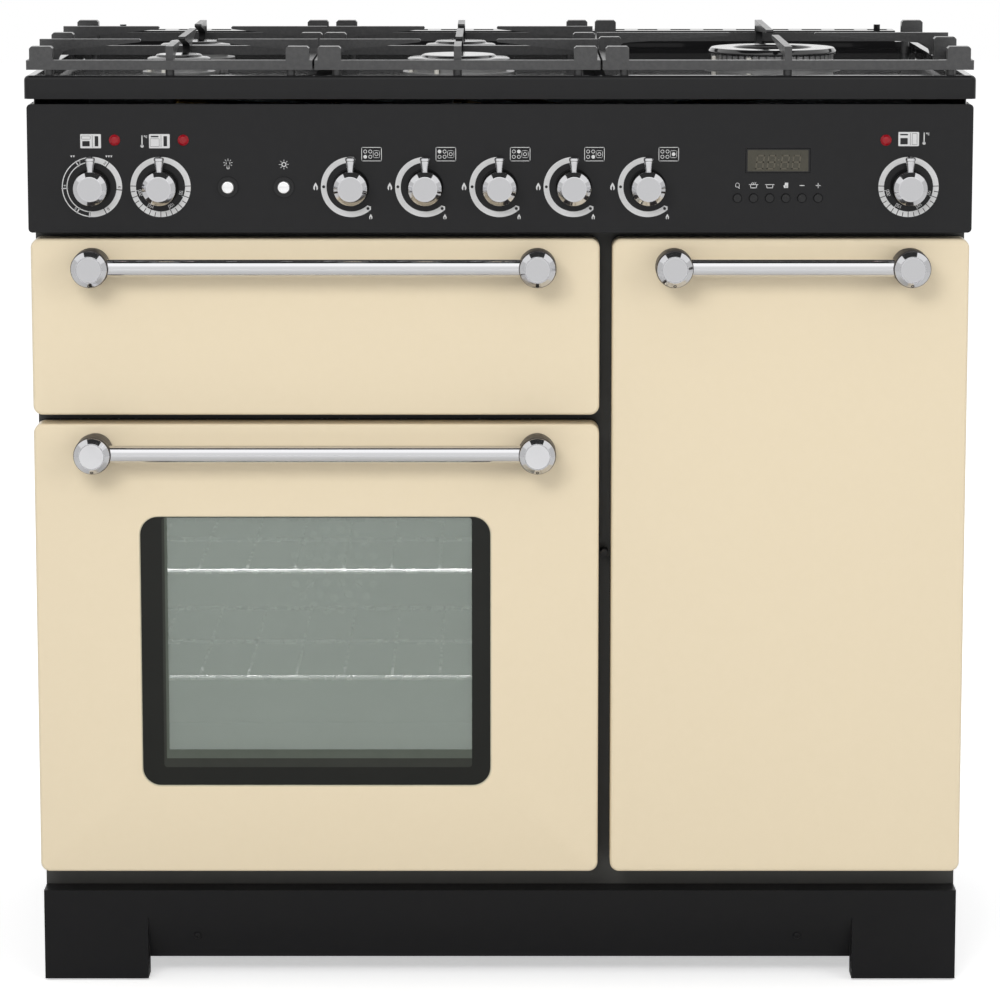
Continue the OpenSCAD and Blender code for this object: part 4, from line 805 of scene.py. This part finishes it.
def oven_dial(child):
    """A thermostat's ring: plain at the top, and ticks with numbers round the lower half."""
    centre_on(child)
    inside = RING - BAND
    first_tick, tick_step = 2.0, 11.5
    silver.band(inside, RING, -268, 88)
    for i in range(17):
        inner = inside if i % 2 == 0 else RING - BAND * 0.75
        spoke(ink, first_tick - i * tick_step, inner, RING, 0.7)
    for label, degrees in (("50", -16.0), ("100", -60.0), ("150", -117.0), ("200", -164.0)):
        number(silver, label, inside - 3.2, degrees, 2.8, 0.42)
        spoke(silver, degrees, inside - 1.2, inside, 0.5, lag=0.13)


def grill_dial(child):
    """The grill's ring: filled on one side, outlined on the other, with three levels on each."""
    centre_on(child)
    inside, rim_line = RING - BAND, 0.9
    silver.band(inside, RING, -94, 88)
    silver.band(RING - rim_line, RING, 92, 266)
    silver.band(inside, inside + rim_line, 92, 266)
    for degrees in (55.0, -6.0, -62.0):
        spoke(ink, degrees, inside - 0.5, RING + 0.5, 0.9)
    for degrees in (122.0, 183.0, 239.0, 264.0):
        spoke(silver, degrees, inside, RING, 1.0)
    for digit, degrees in (("2", 61.0), ("4", 0.5), ("6", -54.0)):
        number(ink, digit, RING - BAND / 2, degrees, 2.6, 0.4)
    for digit, degrees in (("2", 116.0), ("4", 177.0), ("6", 232.0)):
        number(silver, digit, RING - BAND / 2, degrees, 2.4, 0.34)


for i in range(5):
    gas_dial("gas_knob_%d" % (i + 1), i)
grill_dial("grill_knob")
oven_dial("left_oven_knob")
oven_dial("right_oven_knob")

# From here on the prints' centre is the panel's middle, at the spindles' height
spindle_z = pivots["gas_knob_1"].z
silver.at(0.0, spindle_z)
ink.at(0.0, spindle_z)
oven_icon(-387.7, 43.5, "grill")
oven_icon(-322.6, 43.5, "left")
thermometer(-339.0, 43.7)
oven_icon(387.0, 45.5, "right")
thermometer(401.6, 46.4)
arrows(-405.0, 29.0, 2)
arrows(-370.6, 29.0, 3)


def button_symbols():
    """A lamp and a spark over the two push buttons."""
    light_x, spark_x = -257.8, -204.8
    silver.frame_line(light_x, 22.5, 3.4, 4.8, 1.5, 0.7)
    silver.line([(light_x - 1.0, 19.4), (light_x - 1.0, 17.4), (light_x + 1.0, 17.4),
                 (light_x + 1.0, 19.4)], 0.7)
    silver.band(1.5, 2.3, 0, 360, spark_x, 21.4)
    for x, z, near, far, angles in ((light_x, 22.6, 3.0, 4.2, range(-30, 211, 40)),
                                    (spark_x, 21.4, 3.0, 4.4, range(0, 360, 45))):
        for degrees in angles:
            c, s = polar(math.radians(degrees), 1.0)
            silver.line([(x + near * c, z + near * s), (x + far * c, z + far * s)], 0.6)


def timer_symbols(z=1.4):
    """A bell, two pots, a hand, a minus and a plus over the timer's buttons."""
    timer_x = (timer_xs[0] + timer_xs[5]) / 2 / MM
    pitch = (timer_xs[5] - timer_xs[0]) / 5 / MM
    xs = [timer_x + (k - 2.5) * pitch for k in range(6)]
    bell = xs[0]
    silver.line([(bell - 1.7, z - 1.4), (bell - 1.7, z + 1.2), (bell - 0.8, z + 2.3),
                 (bell + 0.8, z + 2.3), (bell + 1.7, z + 1.2), (bell + 1.7, z - 1.4),
                 (bell - 1.7, z - 1.4)], 0.5)
    silver.line([(bell + 0.7, z - 1.6), (bell + 1.9, z - 2.8)], 0.6)
    for pot in xs[1:3]:
        silver.line([(pot - 4.2, z + 0.9), (pot + 4.2, z + 0.9)], 0.6)
        silver.line([(pot - 3.0, z + 0.7), (pot - 2.7, z - 2.2), (pot + 2.7, z - 2.2),
                     (pot + 3.0, z + 0.7)], 0.6)
    for dx in (-2.1, -0.4, 1.3):
        silver.line([(xs[1] + dx, z + 1.6), (xs[1] + dx + 0.9, z + 3.0)], 0.5)
    hand = xs[3]
    silver.fill([(hand - 0.9, z + 2.7), (hand + 2.1, z + 2.7), (hand + 2.1, z - 2.3),
                 (hand - 1.7, z - 2.3), (hand - 2.3, z + 0.1), (hand - 1.2, z + 0.5)])
    ink.line([(hand - 0.6, z - 0.4), (hand + 1.4, z - 0.4)], 0.4)
    ink.line([(hand - 0.6, z - 1.4), (hand + 1.4, z - 1.4)], 0.3)
    silver.line([(xs[4] - 2.1, z), (xs[4] + 2.1, z)], 0.75)
    silver.line([(xs[5] - 2.1, z), (xs[5] + 2.1, z)], 0.75)
    silver.line([(xs[5], z - 2.1), (xs[5], z + 2.1)], 0.75)


timer_xs = []
for i in range(6):
    low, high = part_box("timer_button_%d" % (i + 1))
    timer_xs.append((low.x + high.x) / 2)
button_symbols()
timer_symbols()
silver.done("panel_print", "print")
ink.done("panel_ink", "ink", slot="black_enamel")


def timer_display(above_spindle=0.025):
    """The timer's display: a dark border, an olive face and faint unlit digits."""
    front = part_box("timer_unit")[0].y
    centre = (sum(timer_xs) / 6, spindle_z + above_spindle)
    face = Print(front, 0.05).at(*centre)
    face.fill(rounded(0, 0, 60.0, 22.2, 1.2))
    face.done("display_border", "ink", slot="display")
    face = Print(front, 0.12).at(*centre)
    face.fill(rounded(0, 0, 57.6, 20.2, 1.0))
    face.done("display_face", "display", slot="display")
    digits = Print(front, 0.18).at(*centre)
    digit_z, wide, tall, slant = -1.4, 3.2, 3.1, 0.45
    for x in (-17.0, -6.2, 6.6, 17.4):
        for stroke in STROKES["8"]:
            digits.line([(x + (px - 1) * wide + (pz - 2) * slant, digit_z + (pz - 2) * tall)
                         for px, pz in stroke], 1.3)
    for dot_z in (-2.6, 2.0):
        digits.disc(0.4 + dot_z * 0.12, digit_z + dot_z, 0.8)
    digits.done("display_digits", "digits", slot="display")


timer_display()


# The window

glass_low, glass_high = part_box("left_door_glass")
# The cut-out in the door's outer panel, in millimetres; the glass laps behind it
GLASS_LAP = 12.0
hole_x0, hole_x1 = glass_low.x / MM + GLASS_LAP, glass_high.x / MM - GLASS_LAP
hole_z0, hole_z1 = glass_low.z / MM + GLASS_LAP, glass_high.z / MM - GLASS_LAP
hole_cx, hole_cz = (hole_x0 + hole_x1) / 2, (hole_z0 + hole_z1) / 2
hole_w, hole_h = hole_x1 - hole_x0, hole_z1 - hole_z0
# The clear part inside the black print
clear_x0, clear_x1 = hole_x0 + 21.4, hole_x1 - 18.6
clear_z0, clear_z1 = hole_z0 + 18.5, hole_z1 - 1.5


def window_print():
    """The black print round the glass."""
    outer = rounded(hole_cx, hole_cz, hole_w + 20, hole_h + 20, 20.0, 8)
    inner = rounded((clear_x0 + clear_x1) / 2, (clear_z0 + clear_z1) / 2,
                    clear_x1 - clear_x0, clear_z1 - clear_z0, 3.0, 8)
    y = glass_low.y - 0.1 * MM
    bm = bmesh.new()
    bridge(bm, [[bm.verts.new((x * MM, y, z * MM)) for x, z in line] for line in (outer, inner)])
    piece("window_print", from_bmesh("window_print", bm, outwards=False), "mask", "left_door",
          smooth=False)


def window_steps(tall=8.8, wide=2.6):
    """Painted shade in steps along the lower and the left side, where the inner pane's edge shows behind the
    glass.
    """
    # Two tones of painted shade, laid on the front of the glass, the darker one lowest
    for k, finish in enumerate(("shade_2", "shade_1")):
        low, side = clear_z0 + tall * k, clear_x0 + wide * k
        strip = Print(glass_low.y, 0.06 - 0.01 * k)
        strip.fill([(clear_x0 - 1, low), (clear_x1 + 1, low), (clear_x1 + 1, low + tall),
                    (clear_x0 - 1, low + tall)])
        strip.fill([(side, low + tall), (side + wide, low + tall), (side + wide, clear_z1),
                    (side, clear_z1)])
        strip.done("window_step_%d" % k, finish, "left_door", "black_enamel")


def window_rim():
    """The folded edge of the enamel round the cut-out."""
    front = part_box("left_door")[0].y
    bm = bmesh.new()
    rings = []
    for inset, depth in ((-0.6, -0.02), (0.0, 0.1), (0.7, 0.9), (0.8, 2.0)):
        line = rounded(hole_cx, hole_cz, hole_w - 2 * inset, hole_h - 2 * inset, 18.0 - inset, 8)
        rings.append([bm.verts.new((x * MM, front + depth * MM, z * MM)) for x, z in line])
    bridge(bm, rings)
    piece("window_rim", from_bmesh("window_rim", bm), "trim", "left_door")


window_print()
window_steps()
window_rim()


# Lamp lenses and screws

def lamp_domes(away=0.022, sides=12):
    """The red lamp lenses beside three of the knobs: a short collar and a faceted dome."""
    low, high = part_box("lamp_lenses")
    lamp_z = (low.z + high.z) / 2
    collar = [(5.4, 0.0), (5.4, 0.7), (5.0, 1.2)]
    dome = [(4.6 * math.cos(math.radians(a)), 1.2 + 2.2 * math.sin(math.radians(a)))
            for a in (10, 40, 66)]
    profile = [(r * MM, h * MM) for r, h in collar + dome + [(0.0, 3.4)]]
    bm = bmesh.new()
    for x in (pivots["grill_knob"].x + away, pivots["left_oven_knob"].x + away,
              pivots["right_oven_knob"].x - away):
        lathe(bm, profile, Vector((x, PANEL_Y, lamp_z)), TO_FRONT, sides)
    made = piece("lamp_domes", from_bmesh("lamp_domes", bm), "neon", "cooker",
                 smooth=False)
    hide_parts("lamp_lenses")


lamp_domes()


def screw_heads(name, places, turn, radius, finish, steps=24):
    """Pan head screws on the cooker, each with a cross in a shallow round recess."""
    face_r, top = radius * 0.4, radius * 0.6
    arm, half, deep = radius * 0.36, radius * 0.1, radius * 0.35
    profile = [(radius, 0.0), (radius, radius * 0.3), (radius * 0.8, radius * 0.52), (face_r, top)]
    bm = bmesh.new()
    for place in places:
        place = Vector(place)
        lathe(bm, profile, place, turn, steps)
        rim = [bm.verts.new(place + turn @ Vector((*polar(2 * math.pi * i / steps, face_r), top)))
               for i in range(steps)]
        centre = bm.verts.new(place + turn @ Vector((0, 0, top - deep)))
        for i in range(steps):
            bm.faces.new((rim[i], rim[(i + 1) % steps], centre))
        for w, h in ((arm, half), (half, arm)):
            bm.faces.new([bm.verts.new(place + turn @ Vector((x, y, top - deep * 0.4)))
                          for x, y in ((-w, -h), (w, -h), (w, h), (-w, h))])
    bmesh.ops.remove_doubles(bm, verts=bm.verts, dist=1e-6)
    piece(name, from_bmesh(name, bm), finish, "cooker")


# Turned and rounded parts

def turned_piece(name, parts, body, slot, *stands_for):
    """One piece from lathe parts, each a finish, a profile in mm, a place, a turn and a radius."""
    bm = bmesh.new()
    finishes = []
    for finish, profile, place, turn, radius in parts:
        if finish not in finishes:
            finishes.append(finish)
        before = len(bm.faces)
        turned(bm, profile, place, turn, radius)
        bm.faces.ensure_lookup_table()
        for face in bm.faces[before:]:
            face.material_index = finishes.index(finish)
    made = piece(name, from_bmesh(name, bm), finishes[0], body)
    for finish in finishes[1:]:
        made.data.materials.append(M[finish].mat)
    smooth_by_angle(made, 50.0)
    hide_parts(*stands_for)


def knob_shape(node):
    """A black skirt, a chrome drum with a bevelled face, and a flared pointer peg."""
    low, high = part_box(node)
    x, z = pivots[node].x, pivots[node].z
    gap, peg_out = 0.001, 0.01674
    base = PANEL_Y - gap
    drum = (base - low.y) / MM
    skirt = [(0, 0), (17, 0), (17, 6.2), (16.2, 7.8), (0, 7.8)]
    body = [(0, 7.4), (15.7, 7.4), (16, 8.0), (16, drum - 4.4), (11.6, drum), (0, drum)]
    peg = [(0, 9), (3.05, 9), (3.05, 17.4), (3.5, 20.5), (4.35, 25.2), (4.1, 25.7), (4.75, 26.3),
           (4.9, 27.2), (4.5, 28.7), (3.0, 29.6), (0, 29.7)]
    spindle = [(0, 0), (2.9, 0), (2.9, (high.y - base) / MM), (0, (high.y - base) / MM)]
    turned_piece(node + "_shape", [
        ("chrome", body, (x, base, z), TO_FRONT, 0.35),
        ("skirt", skirt, (x, base, z), TO_FRONT, 0.5),
        ("chrome", peg, (x, PANEL_Y - peg_out, z), UPRIGHT, 0.3),
        ("steel", spindle, (x, base, z), TO_BACK, 0.3)], node, "chrome", node)


def handle_shape(body, node):
    """Two posts with dark bases and bevelled chrome caps, a grub screw in each, and the bar."""
    low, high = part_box(node)
    z = (low.z + high.z) / 2
    reach = (high.y - low.y) / MM
    post, cap_r, face, bar_r = 17.8, 17.0, 12.6, 8.2
    screw_in, screw_drop, bar_out = 3.0, 0.0156, 0.03
    slanted = Matrix.Rotation(math.radians(135), 3, "X")
    across = Matrix.Rotation(math.radians(90), 3, "Y")
    foot = [(0, 0), (16, 0), (16, 7), (14.8, 9), (14.8, 13), (post, 16), (post, 40.8),
            (cap_r, 42.2), (0, 42.2)]
    cap = [(0, 41.8), (16.7, 41.8), (cap_r, 42.3), (cap_r, reach - cap_r + face), (face, reach),
           (face - 0.2, reach), (face - 0.45, reach - 0.5), (face - 0.75, reach - 0.5),
           (face - 1.0, reach), (0, reach)]
    screw = [(0, -1.5), (1.6, -1.5), (1.6, 0.25), (0.9, 0.25), (0.7, -0.5), (0, -0.5)]
    parts = []
    for x in (low.x + post * MM, high.x - post * MM):
        parts += [("chrome", cap, (x, high.y, z), TO_FRONT, 0.3),
                  ("collar", foot, (x, high.y, z), TO_FRONT, 0.5),
                  ("skirt", screw, (x, high.y - (reach - screw_in) * MM, z - screw_drop),
                   slanted, 0.15)]
    length = (high.x - low.x) / MM - 2 * post
    parts.append(("chrome", [(0, 0), (bar_r, 0), (bar_r, length), (0, length)],
                  (low.x + post * MM, high.y - bar_out, z), across, 0.3))
    turned_piece(node + "_shape", parts, body, "chrome", node)


def push_button_shape(node):
    """A bright button with a bevelled edge and a slightly dished face, on its stem."""
    low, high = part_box(node)
    x, z = (low.x + high.x) / 2, (low.z + high.z) / 2
    depth = 0.0055
    length = (PANEL_Y + depth - low.y) / MM
    head = [(0, 0), (6, 0), (6, length - 1.4), (5.3, length - 0.3), (4.5, length),
            (4.0, length - 0.1), (0, length - 0.7)]
    stem_end = (high.y - PANEL_Y - depth) / MM
    stem = [(0, 0), (2.4, 0), (2.4, stem_end), (0, stem_end)]
    place = (x, PANEL_Y + depth, z)
    turned_piece(node + "_shape", [("button", head, place, TO_FRONT, 0.25),
                                   ("plastic", stem, place, TO_BACK, 0.2)],
                 node, "button_plastic", node)


def hob_outline(edge, upper=0.0002, border=0.0085):
    """True for the upper edges round the outside of the hotplate's rim."""
    low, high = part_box("hotplate")
    top = all(v.co.z > high.z - upper for v in edge.verts)
    near = all(abs(v.co.x) > high.x - border or v.co.y < low.y + border or v.co.y > high.y - border
               for v in edge.verts)
    return top and near


def shaped_parts():
    """The knobs, handles, buttons and castings in their finer shapes."""
    for name in nodes:
        if is_knob(name):
            knob_shape(name)
    for body in ("grill_door", "left_door", "right_door"):
        handle_shape(body, body + "_handle")
    push_button_shape("light_button")
    push_button_shape("ignition_button")
    for side in ("left", "middle", "right"):
        rounded_copy(side + "_pan_support", "iron", 0.0016, 3)
    rounded_copy("hotplate", "top", 0.0045, 5, pick=hob_outline)
    rounded_copy("burner_caps", "cap", 0.0006, 2)


shaped_parts()


# The window's panes, the oven's lamp, the flue and the casing's screws

def window_panes():
    """The two panes of the window, each with its own glass."""
    middle = (glass_low.y + glass_high.y) / 2
    for name, finish, front in (("window_front_pane", "glass", True),
                                ("window_inner_pane", "inner_glass", False)):
        bm = bmesh.new()
        bm.from_mesh(nodes["left_door_glass"].data)
        bmesh.ops.remove_doubles(bm, verts=bm.verts, dist=WELD)
        gone = [v for v in bm.verts if (v.co.y < middle) != front]
        bmesh.ops.delete(bm, geom=gone, context="VERTS")
        made = piece(name, from_bmesh(name, bm), finish, "left_door")
        smooth_by_angle(made)
        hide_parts("left_door_glass")


window_panes()


def oven_lamp(x=-0.1765, z=0.499, floor_z=0.2):
    """A narrow lamp under the left oven's roof, so that its racks' front wires shine."""
    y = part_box("oven_shelves")[0].y + 0.004
    lamp = softbox("oven_lamp", (x, y, z), (x, y, floor_z), 0.42, 0.008, 0.8)
    lamp.data.spread = math.radians(24)
    lamp.visible_camera = False


oven_lamp()


def flue_duct(half=0.43, thick=0.0009, wall=0.0016):
    """The dark folded floor of the flue outlet under the vent strip, fixed to the rear skirt."""
    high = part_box("hotplate")[1]
    front, back = high.y - 0.046, high.y - wall
    upper, floor = high.z - wall, high.z - 0.0155
    inner = [(front, upper), (front, floor), (back, floor)]
    outer = [(back, floor - thick), (front - thick, floor - thick), (front - thick, upper)]
    bm = bmesh.new()
    ends = [[bm.verts.new((x, y, z)) for y, z in inner + outer] for x in (-half, half)]
    bridge(bm, ends)
    for end in ends:
        bm.faces.new(end)
    piece("flue_duct", from_bmesh("flue_duct", bm), "dark", "cooker",
          smooth=False)


flue_duct()


def rear_screws():
    """Screws round the back panel's plate."""
    low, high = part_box("back_panel")
    y = high.y - 0.022
    places = []
    for x in (-0.43, -0.215, 0.0, 0.215, 0.43):
        places += [(x, y, high.z - 0.012), (x, y, low.z + 0.014)]
    for z in (0.25, 0.42, 0.59, 0.74):
        places += [(-0.436, y, z), (0.436, y, z)]
    screw_heads("rear_screws", places, TO_BACK, 0.0042, "zinc")


def side_screws(inset=0.012):
    """Screws down the front and rear edges of both side panels."""
    low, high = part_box("side_panels")
    for name, side in (("side_screws_left", -1), ("side_screws_right", 1)):
        turn = Matrix.Rotation(math.radians(90 * side), 3, "Y")
        places = [(side * high.x, y, z) for y in (low.y + inset, high.y - inset)
                  for z in (0.12, 0.36, 0.6, 0.82)]
        screw_heads(name, places, turn, 0.0038, "plastic")


def plinth_screws(z=0.0435, behind=0.0082, lean_degrees=22.5):
    """Two screws in the plinth's sloped face."""
    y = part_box("plinth")[0].y + behind
    lean = Matrix.Rotation(math.radians(90 + lean_degrees), 3, "X")
    screw_heads("plinth_screws", [(-0.2972, y, z), (0.2918, y, z)], lean, 0.0036, "plinth")


rear_screws()
side_screws()
plinth_screws()
